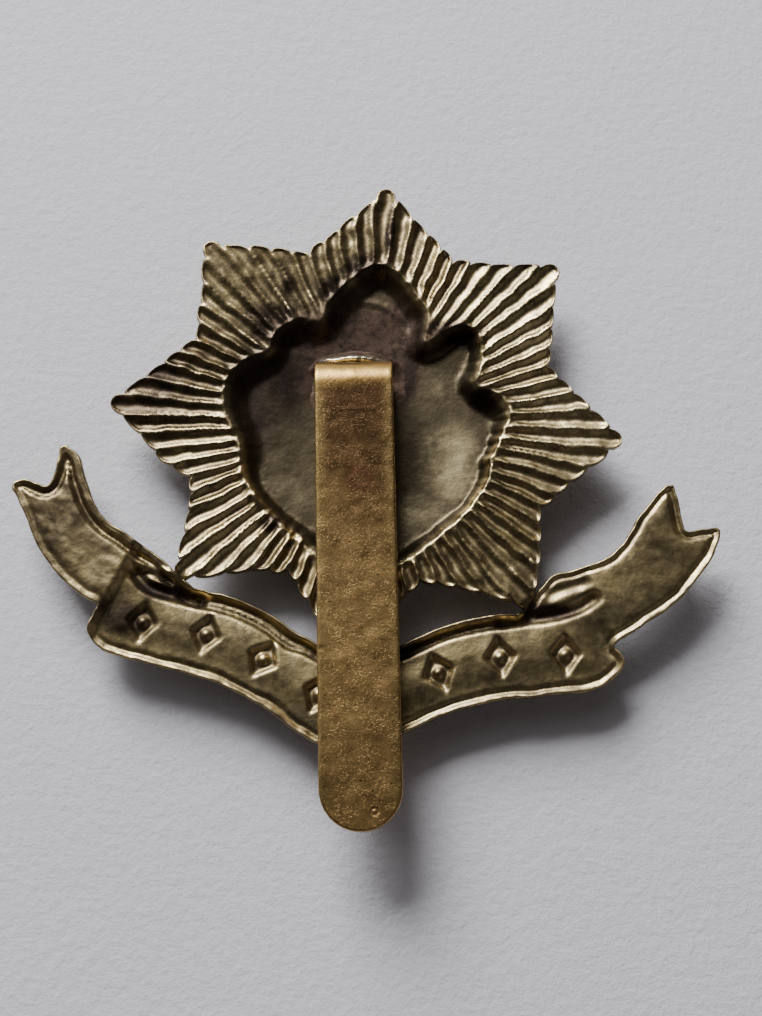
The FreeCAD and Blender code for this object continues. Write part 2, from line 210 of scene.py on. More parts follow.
def nearest_on(x: Array, y: Array, path: Array, closed: bool) -> tuple[Array, Array]:
    """Distance from points to a polyline, and where on it the nearest place is.

    Args:
        x: First coordinate of each point.
        y: Second coordinate of each point.
        path: Corners of the polyline.
        closed: Whether the last corner joins the first.

    Returns:
        Distances, and places counted in corners along the path.
    """
    start = path if closed else path[:-1]
    end = np.roll(path, -1, axis=0) if closed else path[1:]
    step = end - start
    length = np.maximum((step**2).sum(1), 1e-12)
    distance, place = np.empty(len(x)), np.empty(len(x))
    block = 2000
    for first in range(0, len(x), block):
        part = slice(first, first + block)
        gap_x = x[part, None] - start[None, :, 0]
        gap_y = y[part, None] - start[None, :, 1]
        share = np.clip((gap_x * step[:, 0] + gap_y * step[:, 1]) / length, 0.0, 1.0)
        gap = (gap_x - share * step[:, 0]) ** 2 + (gap_y - share * step[:, 1]) ** 2
        best = gap.argmin(1)
        rows = np.arange(len(best))
        distance[part] = np.sqrt(gap[rows, best])
        place[part] = best + share[rows, best]
    return distance, place


def inside(x: Array, y: Array, loop: Array) -> Array:
    """Whether points lie inside a closed loop: a ray from each crosses it an odd number of times.

    Args:
        x: First coordinate of each point.
        y: Second coordinate of each point.
        loop: Corners of the loop.

    Returns:
        True or false for each point.
    """
    start, end = loop, np.roll(loop, -1, axis=0)
    hits = np.zeros(len(x), int)
    block = 2000
    for first in range(0, len(x), block):
        part = slice(first, first + block)
        above = start[None, :, 1] > y[part, None]
        crosses = above != (end[None, :, 1] > y[part, None])
        rise = np.where(np.abs(end[:, 1] - start[:, 1]) < 1e-12, 1e-12, end[:, 1] - start[:, 1])
        at = start[:, 0] + (y[part, None] - start[:, 1]) * (end[:, 0] - start[:, 0]) / rise
        hits[part] = (crosses & (x[part, None] < at)).sum(1)
    return hits % 2 == 1


def depth_in(x: Array, y: Array, loop: Array) -> Array:
    """Distance of points to a closed loop, over 0 inside it and under 0 outside."""
    distance, _ = nearest_on(x, y, loop, closed=True)
    return np.where(inside(x, y, loop), distance, -distance)


def ring_faces(rings: int, count: int) -> Array:
    """Four-cornered faces between closed rings of points.

    Args:
        rings: Number of rings, one after another.
        count: Points in a ring.

    Returns:
        Corner numbers, one row for each face.
    """
    row, column = np.arange(rings - 1)[:, None], np.arange(count)[None, :]
    near, far = row * count, (row + 1) * count
    after = (column + 1) % count
    return np.stack([near + column, near + after, far + after, far + column], -1).reshape(-1, 4)


def make_piece(name: str, vertices: Array, faces: list[Array], node: str) -> bpy.types.Object:
    """Mesh object that rides on the badge and stands for a CAD node.

    Args:
        name: Name of the piece.
        vertices: Places in the badge's frame, in metres.
        faces: Blocks of corner numbers, one row for each face.
        node: CAD node that the piece stands for.

    Returns:
        The new object.
    """
    mesh = bpy.data.meshes.new(name)
    mesh.from_pydata(vertices.tolist(), [], [face for block in faces for face in block.tolist()])
    mesh.shade_smooth()
    piece = bpy.data.objects.new(name, mesh)
    bpy.context.scene.collection.objects.link(piece)
    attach(piece, "root")
    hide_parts(node)
    log.info("%s: %d vertices, %d faces", name, len(mesh.vertices), len(mesh.polygons))
    return piece


def paint(piece: bpy.types.Object, name: str, values: Array) -> None:
    """Store one number for each vertex of a piece, for its material to read."""
    layer = piece.data.attributes.new(name, "FLOAT", "POINT")
    layer.data.foreach_set("value", np.ascontiguousarray(values, dtype=np.float32))


def close_seams(piece: bpy.types.Object) -> None:
    """Merge the points that meet at a piece's seams and poles.

    Args:
        piece: Piece to close.
    """
    shape = bmesh.new()
    shape.from_mesh(piece.data)
    bmesh.ops.remove_doubles(shape, verts=shape.verts, dist=1e-7)
    shape.to_mesh(piece.data)
    shape.free()


def to_frame(x: Array, y: Array, z: Array) -> Array:
    """Places in the badge's frame, in metres, of points in millimetres about the star's centre."""
    return np.stack([x + STAR_CENTRE[0], y + STAR_CENTRE[1], z], axis=-1) * MM


# --- star ----------------------------------------------------------------------------------------


@dataclass(frozen=True)
class StarForm:
    """Pleated eight-pointed star. Rays are numbered anticlockwise from +X."""

    points: int = 8
    rays: int = 72
    flank_tip_radius: float = 20.8
    valley_radius: float = 15.7
    shoulder_radius: float = 19.6
    scallop: float = 0.42
    back_at_centre: float = 3.0
    back_rise: float = 0.04
    pleat_at_centre: float = 0.11
    pleat_growth: float = 0.0055
    lip: float = 0.22
    worn: Stretches = ((123, 29, 0.52), (-55, 17, 0.3))
    trims: Stretches = (
        (212, 13, 1.2),
        (247, 21, 2.0),
        (293, 21, 2.0),
        (168, 14, -0.22),
        (8, 22, 0.15),
        (328, 12, 0.2),
    )

    def trim(self, turn: Array) -> Array:
        """Depth to which the edge is trimmed short: a flat-topped bell for each stretch."""
        return stretches_round(turn, self.trims, 4.0)

    def ray_of(self, turn: Array) -> tuple[Array, Array]:
        """Ray at each angle.

        Args:
            turn: Angles in degrees.

        Returns:
            Number of the ray, and place across it from -1 to 1.
        """
        step = 360.0 / self.rays
        ray = np.floor(turn / step + 0.5)
        return ray.astype(int) % self.rays, (turn - ray * step) / (step / 2)

    def outline(self, turn: Array) -> Array:
        """Radius of the star's edge: straight flanks with a round end on each ray.

        Args:
            turn: Angles in degrees.

        Returns:
            Radii.
        """
        span = 360.0 / self.points
        off = np.abs((turn + span / 2) % span - span / 2)
        slope = np.tan(np.radians(off))
        valley_x = self.valley_radius * np.cos(np.radians(span / 2))
        valley_y = self.valley_radius * np.sin(np.radians(span / 2))
        reach = valley_x - self.flank_tip_radius
        share = slope * self.flank_tip_radius / (valley_y - slope * reach)
        flank = np.hypot(self.flank_tip_radius + reach * share, valley_y * share)
        ray, across = self.ray_of(turn)
        size = np.random.default_rng(5).uniform(0.55, 1.25, self.rays)[ray]
        rounding = np.maximum(1.0 - across**2, 0.0) ** 0.55
        radius = flank + self.scallop * size * rounding
        tip = self.shoulder_radius + (STAR_TIP_RADIUS - self.shoulder_radius) * rounding**0.8
        radius = np.where(ray % (self.rays // self.points) == 0, tip, radius) - self.trim(turn)
        return radius - 0.04 * (1 + rough_noise(turn, turn * 0.0, 1.7, 11))

    def wear(self, turn: Array) -> Array:
        """Share by which the pleats are flattened at an angle."""
        return stretches_round(turn, self.worn, 4.0)

    def height(self, x: Array, y: Array, rim: Array, edge: Array) -> tuple[Array, Array]:
        """Height of the star's back, and how hollow it is there.

        The back is a shallow cone. Each ray is a round hollow in it, one cosine lobe wide, between
        crests. Hollows fade out at the recess's rim and rise to a thin lip at the star's edge.

        Args:
            x: First coordinate of each point.
            y: Second coordinate of each point.
            rim: Distance outward from the recess's rim.
            edge: Distance inward from the star's edge.

        Returns:
            Heights, and hollowness from 0 to 1.
        """
        radius, turn = np.hypot(x, y), np.degrees(np.arctan2(y, x))
        swing = turn + 0.55 * rough_noise(x, y, 2.6, 21) + 0.4 * lattice_noise(x, y, 0.9, 25)
        ray, across = self.ray_of(swing)
        strength = np.random.default_rng(9).uniform(0.8, 1.2, self.rays)[ray]
        sharpness = 1.55 + 0.5 * lattice_noise(x, y, 3.0, 31)
        wave = 1.0 - 2.0 * np.maximum(np.cos(across * np.pi / 2), 0.0) ** sharpness
        wear = self.wear(turn)
        depth = (self.pleat_at_centre + self.pleat_growth * radius) * (1.0 - wear) * strength
        opened = smooth_step(rim, 0.05, 0.75) * (0.25 + 0.75 * smooth_step(edge, 0.0, self.lip))
        wave = 0.45 + (wave - 0.45) * opened
        dents = 0.05 * rough_noise(x, y, 1.1, 41) + 0.03 * wear * rough_noise(x, y, 0.55, 51)
        scored = wear * 0.05 * lattice_noise(x * 0.77 + y * 0.64, (y * 0.77 - x * 0.64) * 0.3, 0.42, 57)
        level = self.back_at_centre + self.back_rise * radius
        hollow = (1.0 - wave) / 2 * (1.0 - 0.6 * wear)
        # Hollowness also rises near the star's edge, which paints the edge dark.
        return level + depth * wave + dents + scored, np.maximum(hollow, 0.8 * bell(edge, 0.22))


@dataclass(frozen=True)
class Groove:
    """Hollow, or ridge where its depth is negative, along a short path."""

    points: tuple[tuple[float, float], ...]
    depth: float
    half_width: float

    def height(self, x: Array, y: Array, grow: float) -> Array:
        """Change of height: a flat-topped bell of the distance to the path.

        Args:
            x: First coordinate of each point.
            y: Second coordinate of each point.
            grow: How much wider the hollow is drawn.

        Returns:
            Changes of height, under 0 in a hollow.
        """
        path = curve_through(list(self.points), 0.25)
        distance, _ = nearest_on(x, y, path, closed=False)
        return -self.depth * bell(distance, self.half_width + grow, 3.0)


@dataclass(frozen=True)
class RecessForm:
    """Sunken centre of the star, with a lobed outline."""

    radius: float = 10.9
    floor: float = 1.85
    run: float = 1.15
    soft_sides: Stretches = ((172, 40, 0.85), (92, 26, 0.6), (20, 16, 0.4), (248, 16, 0.4))
    crumpled: Stretches = ((232, 22, 1.2),)
    ribbed: Stretches = ((15, 40, 0.07),)
    burr: float = 0.02
    bowl: float = 0.4
    flow: Groove = Groove(
        ((-6.6, 7.0), (-5.0, 9.3), (-2.6, 10.7), (-0.4, 11.0), (1.4, 10.3), (2.5, 8.6)), -0.09, 0.24
    )
    lobes: Stretches = (
        (90, 15, 2.9),
        (118, 6, -1.25),
        (147, 5, -0.7),
        (168, 14, 1.2),
        (195, 8, -0.4),
        (275, 22, 1.7),
        (349, 6, -0.4),
        (9, 9, 0.7),
        (25, 7, -1.3),
        (46, 9, 1.1),
        (60, 5, -2.6),
    )

    def smooth_reach(self, turn: Array) -> Array:
        """Radius of the outline: a circle plus a bell for each lobe."""
        return self.radius + stretches_round(turn, self.lobes, 2.0)

    def reach(self, turn: Array) -> Array:
        """Radius of the outline as struck: uneven, with a small rib for each ray along one stretch.

        Args:
            turn: Angles in degrees.

        Returns:
            Radii.
        """
        x, y = 10.0 * np.cos(np.radians(turn)), 10.0 * np.sin(np.radians(turn))
        ragged = 0.2 * rough_noise(x, y, 1.5, 61)
        ribs = np.cos(np.radians(turn * 72.0)) * stretches_round(turn, self.ribbed, 4.0)
        return self.smooth_reach(turn) + ragged + ribs

    def sink(self, ring: Array, rim: Array, x: Array, y: Array, bowl: float) -> Array:
        """Height with the recess sunk into the star: its floor, its lumpy wall and a burr at its rim.

        Args:
            ring: Height of the star's back.
            rim: Distance outward from the rim, under 0 inside.
            x: First coordinate of each point.
            y: Second coordinate of each point.
            bowl: How far the floor rises towards its rim.

        Returns:
            Heights.
        """
        floor = self.floor + bowl * smooth_step(np.hypot(x, y) - 0.25 * x, 5.5, 12.0)
        floor = floor + 0.06 * rough_noise(x, y, 4.5, 71) + 0.02 * rough_noise(x, y, 1.2, 75)
        turn = np.degrees(np.arctan2(y, x))
        run = self.run * (1.0 + 0.4 * lattice_noise(x, y, 2.6, 77))
        run = run + stretches_round(turn, self.soft_sides, 4.0)
        up = smooth_step(rim / run, -1.0, 0.14)
        crumpled = 1.0 + stretches_round(turn, self.crumpled, 4.0)
        lumps = 0.12 * crumpled * rough_noise(x, y, 1.0, 79) * bell(rim + 0.1, 0.8)
        floor = floor + self.flow.height(x, y, 0.0)
        return floor + (ring + self.burr * bell(rim - 0.12, 0.16) - floor) * up + lumps


# --- scroll --------------------------------------------------------------------------------------


@dataclass(frozen=True)
class EdgeRun:
    """One stretch of the scroll's outline and the hollow that follows it."""

    path: Array
    trench: float
    lip: float
    middle: float
    half: float


@dataclass(frozen=True)
class Crease:
    """Step from the panel up to a tail, across a line."""

    start: tuple[float, float]
    end: tuple[float, float]
    width: float

    def tail_side(self, x: Array, y: Array) -> Array:
        """Share of the step climbed: a smooth step of the distance beyond the line.

        Args:
            x: First coordinate of each point.
            y: Second coordinate of each point.

        Returns:
            Shares from 0 to 1.
        """
        along = np.array(self.end) - np.array(self.start)
        along = along / np.linalg.norm(along)
        outward = np.sign(self.start[0])
        beyond = ((x - self.start[0]) * along[1] - (y - self.start[1]) * along[0]) * -outward
        return smooth_step(beyond, -self.width / 2, self.width / 2)


@dataclass(frozen=True)
class ScrollForm:
    """Scroll under the star: a dipped panel with a forked tail at each end."""

    upper_y: float = -14.7
    upper_dip: float = 4.5
    lower_y: float = -22.2
    lower_dip: float = 4.4
    lower_lift: float = 0.0045
    dip_spread: float = 7.0
    panel_back: float = 3.3
    tail_rise: float = 0.5
    spacing: float = 0.22
    raggedness: float = 0.1
    motif_stations: tuple[float, ...] = (-16.7, -11.6, -6.9, -2.3, 2.3, 6.9, 11.6, 16.7)
    motif_half_length: float = 1.5
    motif_half_width: float = 1.15
    motif_depth: float = 0.5
    creases: tuple[Crease, ...] = (
        Crease((-17.9, -12.9), (-19.4, -16.8), 0.85),
        Crease((19.0, -13.2), (20.8, -17.0), 1.5),
    )
    grooves: tuple[Groove, ...] = (
        Groove(((12.0, -15.6), (14.0, -15.2), (16.2, -14.75), (18.0, -14.0), (19.1, -13.2)), 0.5, 0.46),
        Groove(((15.9, -13.9), (17.3, -13.1), (18.7, -12.6)), -0.07, 0.3),
        Groove(((15.6, -13.1), (16.9, -12.5), (18.4, -11.95)), 0.1, 0.32),
        Groove(((-12.0, -15.75), (-14.4, -15.4), (-16.2, -14.9), (-17.3, -14.0)), 0.75, 0.5),
        Groove(((-14.6, -14.3), (-15.6, -14.1), (-16.5, -13.75)), 0.4, 0.3),
        Groove(((-14.6, -13.75), (-16.0, -13.35), (-17.6, -12.9)), -0.2, 0.26),
    )

    def dip(self, x: Array) -> Array:
        """Bell-shaped share of the panel's dip at a station."""
        return bell(x - SCROLL_SHIFT, self.dip_spread)

    def upper_edge(self, x: Array) -> Array:
        """Y of the panel's edge next to the star."""
        return self.upper_y - self.upper_dip * self.dip(x)

    def lower_edge(self, x: Array) -> Array:
        """Y of the panel's edge away from the star."""
        return self.lower_y + self.lower_lift * (x - SCROLL_SHIFT) ** 2 - self.lower_dip * self.dip(x)

    def line(self, x: Array) -> Array:
        """Y of the panel's centreline."""
        return (self.upper_edge(x) + self.lower_edge(x)) / 2

    def edge_run(self, points: Points, trench: float, lip: float, middle: float, half: float) -> EdgeRun:
        """Stretch of the outline through points."""
        return EdgeRun(curve_through(points, self.spacing), trench, lip, middle, half)

    def runs(self) -> list[EdgeRun]:
        """Stretches of the outline, clockwise from the right end of the panel's upper edge.

        Returns:
            The stretches, each with its own hollow and lip.
        """
        stations = np.arange(-13.0, 13.01, self.spacing) + SCROLL_SHIFT
        upper = EdgeRun(np.stack([stations, self.upper_edge(stations)], 1), 0.62, 0.08, 0.68, 0.36)
        stations = np.arange(18.4, -18.41, -self.spacing) + SCROLL_SHIFT
        lower = EdgeRun(np.stack([stations, self.lower_edge(stations)], 1), 0.15, 0.1, 0.55, 0.2)
        right_inner = [
            (13.9, -13.9), (14.9, -12.6), (16.1, -11.4), (17.6, -10.95), (19.7, -10.1),
            (21.3, -8.45), (22.3, -6.5), (23.4, -4.75), (24.5, -3.5),
        ]
        right_fork = [(25.1, -3.45), (25.5, -5.0), (25.85, -6.5), (26.2, -7.25), (27.4, -6.95), (28.6, -6.65)]
        right_outer = [
            (28.9, -6.9), (28.75, -7.9), (27.9, -9.8), (26.2, -12.35), (23.8, -14.55), (21.7, -16.0),
            (20.75, -16.95),
        ]
        right_end = [(21.4, -17.5), (21.7, -18.2), (21.1, -19.2), (20.2, -20.05)]
        left_end = [(-19.2, -20.35), (-20.3, -19.4), (-20.6, -18.5), (-20.3, -17.6), (-19.9, -16.85)]
        left_outer = [
            (-20.1, -16.65), (-21.4, -16.0), (-23.5, -14.55), (-25.2, -12.6), (-26.6, -10.1), (-27.4, -8.8),
            (-28.1, -7.8),
        ]
        left_fork = [
            (-28.05, -7.25), (-27.2, -6.95), (-26.2, -7.2), (-25.35, -7.4), (-24.95, -6.7), (-24.8, -5.3),
            (-24.75, -4.15),
        ]
        left_inner = [
            (-24.3, -3.85), (-23.1, -4.65), (-22.3, -6.4), (-21.4, -8.3), (-20.2, -9.75), (-18.4, -10.85),
            (-16.2, -12.1), (-14.3, -13.5),
        ]
        return [
            upper,
            self.edge_run(right_inner, 0.12, 0.08, 0.4, 0.13),
            self.edge_run(right_fork, 0.2, 0.08, 0.45, 0.22),
            self.edge_run(right_outer, 0.13, 0.1, 0.48, 0.15),
            self.edge_run(right_end, 0.08, 0.06, 0.5, 0.2),
            lower,
            self.edge_run(left_end, 0.08, 0.05, 0.5, 0.2),
            self.edge_run(left_outer, 0.06, 0.05, 0.5, 0.2),
            self.edge_run(left_fork, 0.32, 0.06, 0.55, 0.3),
            self.edge_run(left_inner, 0.45, 0.08, 0.85, 0.27),
        ]

    def outline(self) -> tuple[Array, Array]:
        """Closed outline, and the section of its edge, evened out along it.

        Returns:
            Corners, anticlockwise, and for each the trench's depth, the lip's height, and the
            trench's distance from the edge and half width.
        """
        runs = self.runs()
        path = np.vstack([run.path for run in runs])
        section = [(run.trench, run.lip, run.middle, run.half) for run in runs]
        section = np.repeat(np.array(section), [len(run.path) for run in runs], axis=0)
        path, section = np.vstack([path, path[:1]])[::-1], np.vstack([section, section[:1]])[::-1]
        run = np.concatenate([[0.0], np.cumsum(np.linalg.norm(np.diff(path, axis=0), axis=1))])
        steps = np.linspace(0.0, run[-1], int(run[-1] / self.spacing), endpoint=False)
        path = np.stack([np.interp(steps, run, column) for column in path.T], 1)
        section = [np.interp(steps, run, column) for column in section.T]
        along = np.roll(path, -1, axis=0) - np.roll(path, 1, axis=0)
        fade = smooth_step(steps, 0.0, 2.0) * smooth_step(run[-1] - steps, 0.0, 2.0)
        ragged = self.raggedness * (rough_noise(steps, steps * 0.0, 1.5, 83) - 0.6) * fade
        path = path + right_of(along) * ragged[:, None]
        reach = 7
        kernel = np.ones(2 * reach + 1) / (2 * reach + 1)
        even = [np.convolve(np.pad(column, reach, "wrap"), kernel, "valid") for column in section]
        return path, np.stack(even, 1)

    def motif_height(self, x: Array, y: Array, grow: float) -> Array:
        """Lozenges struck across the panel, each with a round pellet left standing in it.

        Args:
            x: First coordinate of each point.
            y: Second coordinate of each point.
            grow: How much larger the lozenge is drawn.

        Returns:
            Change of height, not over 0.
        """
        total = np.zeros_like(x)
        for station in self.motif_stations:
            middle = station + SCROLL_SHIFT
            rise = float(self.line(np.array(middle + 0.01)) - self.line(np.array(middle - 0.01))) / 0.02
            length = np.hypot(1.0, rise)
            along = ((x - middle) + (y - self.line(np.array(middle))) * rise) / length
            across = ((y - self.line(np.array(middle))) - (x - middle) * rise) / length
            lozenge = np.abs(along) / (self.motif_half_width + grow)
            lozenge = lozenge + np.abs(across) / (self.motif_half_length + grow)
            pellet = 0.75 * bell(np.hypot(along, across), 0.46, 4.0)
            total -= self.motif_depth * smooth_step(1.25 - lozenge, 0.0, 0.55) * (1.0 - pellet)
        return total

    def height(self, x: Array, y: Array, depth: Array, section: Array, grow: float) -> tuple[Array, Array]:
        """Height of the scroll's back, and how hollow it is there.

        Args:
            x: First coordinate of each point.
            y: Second coordinate of each point.
            depth: Distance inward from the outline, under 0 outside.
            section: Section of the nearest edge, as outline gives it.
            grow: How much wider hollows are drawn, for the front.

        Returns:
            Heights, and hollowness from 0 to 1.
        """
        within = np.maximum(depth, 0.0)
        trench, lip, middle, half = section.T
        step = np.zeros_like(x)
        for crease in self.creases:
            beyond = np.sign(x) == np.sign(crease.start[0])
            step = np.maximum(step, np.where(beyond, crease.tail_side(x, y), 0.0))
        wander = 0.07 * lattice_noise(x, y, 2.6, 81)
        doubled = smooth_step(-x, 2.0, 5.0) * smooth_step(trench, 0.5, 0.6)
        middle = middle + 0.14 * doubled + wander
        channel = -trench * bell(within - middle, half + grow + 0.16 * doubled, 3.5)
        channel = channel + 0.34 * doubled * bell(within - middle - 0.02, 0.13)
        sunk = self.motif_height(x, y, grow)
        for groove in self.grooves:
            sunk = sunk + groove.height(x, y, grow)
        pillow = 0.14 * smooth_step(within, 1.1, 3.0) * (1.0 - step)
        curl = -0.1 * step * bell(within, 0.75)
        ripple_axis = x * 0.35 + y * 0.94
        ripple = 0.05 * step * rough_noise(ripple_axis * 2.4, (x * 0.94 - y * 0.35), 1.5, 91)
        ripple = ripple * np.where(x < 0, 1.0, 0.45)
        dents = 0.03 * rough_noise(x, y, 1.6, 95)
        level = self.panel_back + self.tail_rise * step + pillow + curl
        crest = lip * bell(within, 0.26) * (1.0 + 0.9 * rough_noise(x, y, 1.1, 97))
        height = level + channel + sunk + ripple + dents + crest
        return height, np.clip(-(channel + np.minimum(sunk, 0.0)) / 0.5, 0.0, 1.0)


# --- plate ---------------------------------------------------------------------------------------


@dataclass(frozen=True)
class Stain:
    """Soft oval patch, fading outward."""

    x: float
    y: float
    spread_x: float
    spread_y: float
    share: float = 1.0

    def cover(self, x: Array, y: Array) -> Array:
        """Share covered at each place: a bell of the distance, counted in spreads."""
        away = np.hypot((x - self.x) / self.spread_x, (y - self.y) / self.spread_y)
        return self.share * bell(away, 1.0, 1.6)


@dataclass(frozen=True)
class Net:
    """Flat triangle net of the plate: places, triangles and the directed edges along its border."""

    places: Array
    triangles: Array
    border: Array


@dataclass
class StarScrollPlate:
    """Die-struck sheet: a pleated star with a sunken centre, and the scroll below it."""

    star: StarForm = field(default_factory=StarForm)
    recess: RecessForm = field(default_factory=RecessForm)
    scroll: ScrollForm = field(default_factory=ScrollForm)
    metal: float = 0.7
    front_grow: float = 0.12
    columns: int = 720
    floor_spacing: float = 0.27
    edge_round: float = 0.09
    edge_darkening: float = 0.9
    wall_rows: tuple[float, ...] = (
        -1.3, -1.12, -0.95, -0.8, -0.66, -0.53, -0.41, -0.3, -0.19, -0.08, 0.03, 0.15, 0.28, 0.45,
    )
    ring_rows: int = 14
    lip_rows: tuple[float, ...] = (0.36, 0.2, 0.09)
    edge_rows: tuple[float, ...] = (0.09, 0.19, 0.3, 0.43, 0.58, 0.74)
    rim_rows: tuple[tuple[float, float], ...] = ((0.08, 0.55), (0.25, 0.95), (0.75, 1.0), (0.92, 0.6))
    heat_places: tuple[Stain, ...] = (
        Stain(-0.8, 7.9, 5.6, 2.6),
        Stain(-4.9, 5.0, 1.8, 2.6),
        Stain(2.4, 6.8, 1.9, 2.4),
        Stain(1.7, 9.8, 1.7, 1.5, 0.9),
    )
    # Dark patches, mostly painted shade: the recess's upper left in the shadow of its wall, the shaded side
    # of the slider, and dulled reflections over the left of the star and the scroll. A few are real dark
    # patina, such as the line along the upper right edge.
    dark_stain_and_shade_places: tuple[Stain, ...] = (
        Stain(-1.0, 13.4, 3.0, 1.9),
        Stain(-3.6, 11.4, 2.0, 1.9),
        Stain(-8.2, 8.0, 3.4, 2.6),
        Stain(-10.2, 3.4, 2.6, 4.6, 0.95),
        Stain(-7.4, 3.4, 2.9, 3.6, 0.8),
        Stain(-5.4, 0.6, 2.4, 2.6, 0.45),
        Stain(-7.6, 11.4, 0.9, 1.8, 0.8),
        Stain(3.0, 4.2, 0.9, 2.6),
        Stain(6.4, 8.6, 2.8, 1.1),
        Stain(9.4, 3.0, 1.3, 1.3),
        Stain(-6.9, -9.1, 1.1, 0.8),
        Stain(0.6, 17.0, 0.6, 3.2),
        Stain(10.0, 15.0, 4.8, 0.75, 0.8),
        Stain(3.0, 17.2, 0.9, 2.4, 0.6),
        Stain(-3.2, 9.2, 1.8, 1.6, 0.6),
        Stain(3.9, -1.8, 1.2, 4.5, 0.42),
        Stain(-18.0, 2.5, 7.0, 8.0, 0.72),
        Stain(-13.0, -9.0, 5.0, 4.5, 0.33),
        Stain(-24.0, -10.0, 6.0, 7.0, 0.6),
        Stain(-12.0, -18.0, 6.0, 3.0, 0.36),
        Stain(24.0, -9.0, 5.0, 6.0, 0.36),
        Stain(-9.4, 0.4, 2.6, 4.0, 0.75),
        Stain(17.4, -12.8, 2.6, 1.0, 0.4),
        Stain(-18.0, -17.4, 2.4, 2.0),
        Stain(-15.4, -15.2, 2.8, 1.1),
        Stain(16.0, -14.5, 3.4, 0.8),
        Stain(4.0, -18.4, 3.0, 1.6, 0.8),
    )
    # Painted light: patches where the recess floor and the pleats on the right are painted brighter, as where
    # they reflect the window.
    painted_light_places: tuple[Stain, ...] = (
        Stain(7.2, -2.4, 2.2, 3.0, 0.9),
        Stain(16.0, 0.5, 4.6, 4.0, 0.9),
        Stain(13.0, 8.5, 3.0, 3.0, 0.6),
        Stain(4.8, -6.8, 3.6, 2.0, 0.4),
        Stain(5.8, 4.2, 2.2, 2.8, 0.3),
        Stain(-5.8, -6.0, 3.6, 2.6, 0.3),
        Stain(-4.4, -1.8, 1.8, 2.4, 0.1),
    )

    @property
    def turns(self) -> Array:
        """Angles of the net's columns, in degrees."""
        return np.arange(self.columns) * 360.0 / self.columns

    def star_edge(self) -> Array:
        """Corners of the star's outline, anticlockwise, drawn in by the rounding of the edge."""
        return round_centre(self.star.outline(self.turns) - self.edge_round, self.turns)

    def star_net(self) -> Array:
        """Places on the star: a grid on the recess's floor, and rings from its wall to the edge.

        Returns:
            Places, one row each.
        """
        rim = self.recess.smooth_reach(self.turns)
        edge = self.star.outline(self.turns) - self.edge_round
        rings = [rim + row for row in self.wall_rows]
        first, last = rim + self.wall_rows[-1], edge - self.lip_rows[0]
        rings += [first + (last - first) * row / self.ring_rows for row in range(1, self.ring_rows)]
        rings += [edge - row for row in self.lip_rows]
        ring = round_centre(np.stack(rings), self.turns)
        side = np.arange(-14.5, 14.5, self.floor_spacing)
        grid_x, grid_y = (axis.ravel() for axis in np.meshgrid(side, side))
        reach = self.recess.smooth_reach(np.degrees(np.arctan2(grid_y, grid_x)))
        kept = np.hypot(grid_x, grid_y) < reach + self.wall_rows[0] - 0.2
        return np.vstack([ring.reshape(-1, 2), np.stack([grid_x[kept], grid_y[kept]], 1)])

    def edge_net(self, scroll_edge: Array) -> Array:
        """Rows of places inside the scroll's outline, each a fixed distance from it.

        Args:
            scroll_edge: Corners of the outline, anticlockwise.

        Returns:
            Places, one row each.
        """
        ahead, behind = np.roll(scroll_edge, -1, axis=0), np.roll(scroll_edge, 1, axis=0)
        inward = -right_of(ahead - behind)
        rows = []
        for row in self.edge_rows:
            shifted = scroll_edge + inward * row
            distance, _ = nearest_on(shifted[:, 0], shifted[:, 1], scroll_edge, closed=True)
            rows.append(shifted[distance > row * 0.97])
        return np.vstack(rows)

    def panel_net(self, scroll_edge: Array) -> Array:
        """Places within the scroll: a triangular grid, and the rows along its edge.

        Args:
            scroll_edge: Corners of the outline, anticlockwise.

        Returns:
            Places, one row each.
        """
        step = self.scroll.spacing
        low, high = scroll_edge.min(0), scroll_edge.max(0)
        across = np.arange(low[0], high[0], step)
        along = np.arange(low[1], high[1], step * 0.866)
        grid_x, grid_y = np.meshgrid(across, along)
        grid_x = grid_x + (np.arange(len(along)) % 2)[:, None] * step / 2
        grid_x, grid_y = grid_x.ravel(), grid_y.ravel()
        kept = depth_in(grid_x, grid_y, scroll_edge) > self.edge_rows[-1] + 0.5 * step
        return np.vstack([np.stack([grid_x[kept], grid_y[kept]], 1), self.edge_net(scroll_edge)])

    def net(self, scroll_edge: Array) -> Net:
        """Net over the union of star and scroll, cut along both outlines.

        Args:
            scroll_edge: Corners of the scroll's outline.

        Returns:
            The net.
        """
        star_edge = self.star_edge()
        places = self.star_net()
        places = places[depth_in(places[:, 0], places[:, 1], scroll_edge) < -0.08]
        places = np.vstack([places, self.panel_net(scroll_edge)])
        points, edges = [Vector(place) for place in places.tolist()], []
        for loop in (star_edge, scroll_edge):
            first = len(points)
            points += [Vector(corner) for corner in loop.tolist()]
            numbers = np.arange(len(loop))
            edges += (np.stack([numbers, np.roll(numbers, -1)], 1) + first).tolist()
        found = delaunay_2d_cdt(points, edges, [], 0, 1e-4)
        spots, triangles = np.array([tuple(spot) for spot in found[0]]), np.array(found[2])
        middle = spots[triangles].mean(1)
        kept = inside(middle[:, 0], middle[:, 1], star_edge) | inside(middle[:, 0], middle[:, 1], scroll_edge)
        triangles = triangles[kept]
        used, triangles = np.unique(triangles, return_inverse=True)
        spots, triangles = spots[used], triangles.reshape(-1, 3)
        first, second, third = (spots[triangles[:, corner]] for corner in range(3))
        gap, run = second - first, third - first
        turned = gap[:, 0] * run[:, 1] - gap[:, 1] * run[:, 0] < 0
        triangles[turned] = triangles[turned][:, ::-1]
        directed = np.vstack([triangles[:, [0, 1]], triangles[:, [1, 2]], triangles[:, [2, 0]]])
        code, back = directed @ [len(spots), 1], directed @ [1, len(spots)]
        return Net(spots, triangles, directed[~np.isin(code, back)])

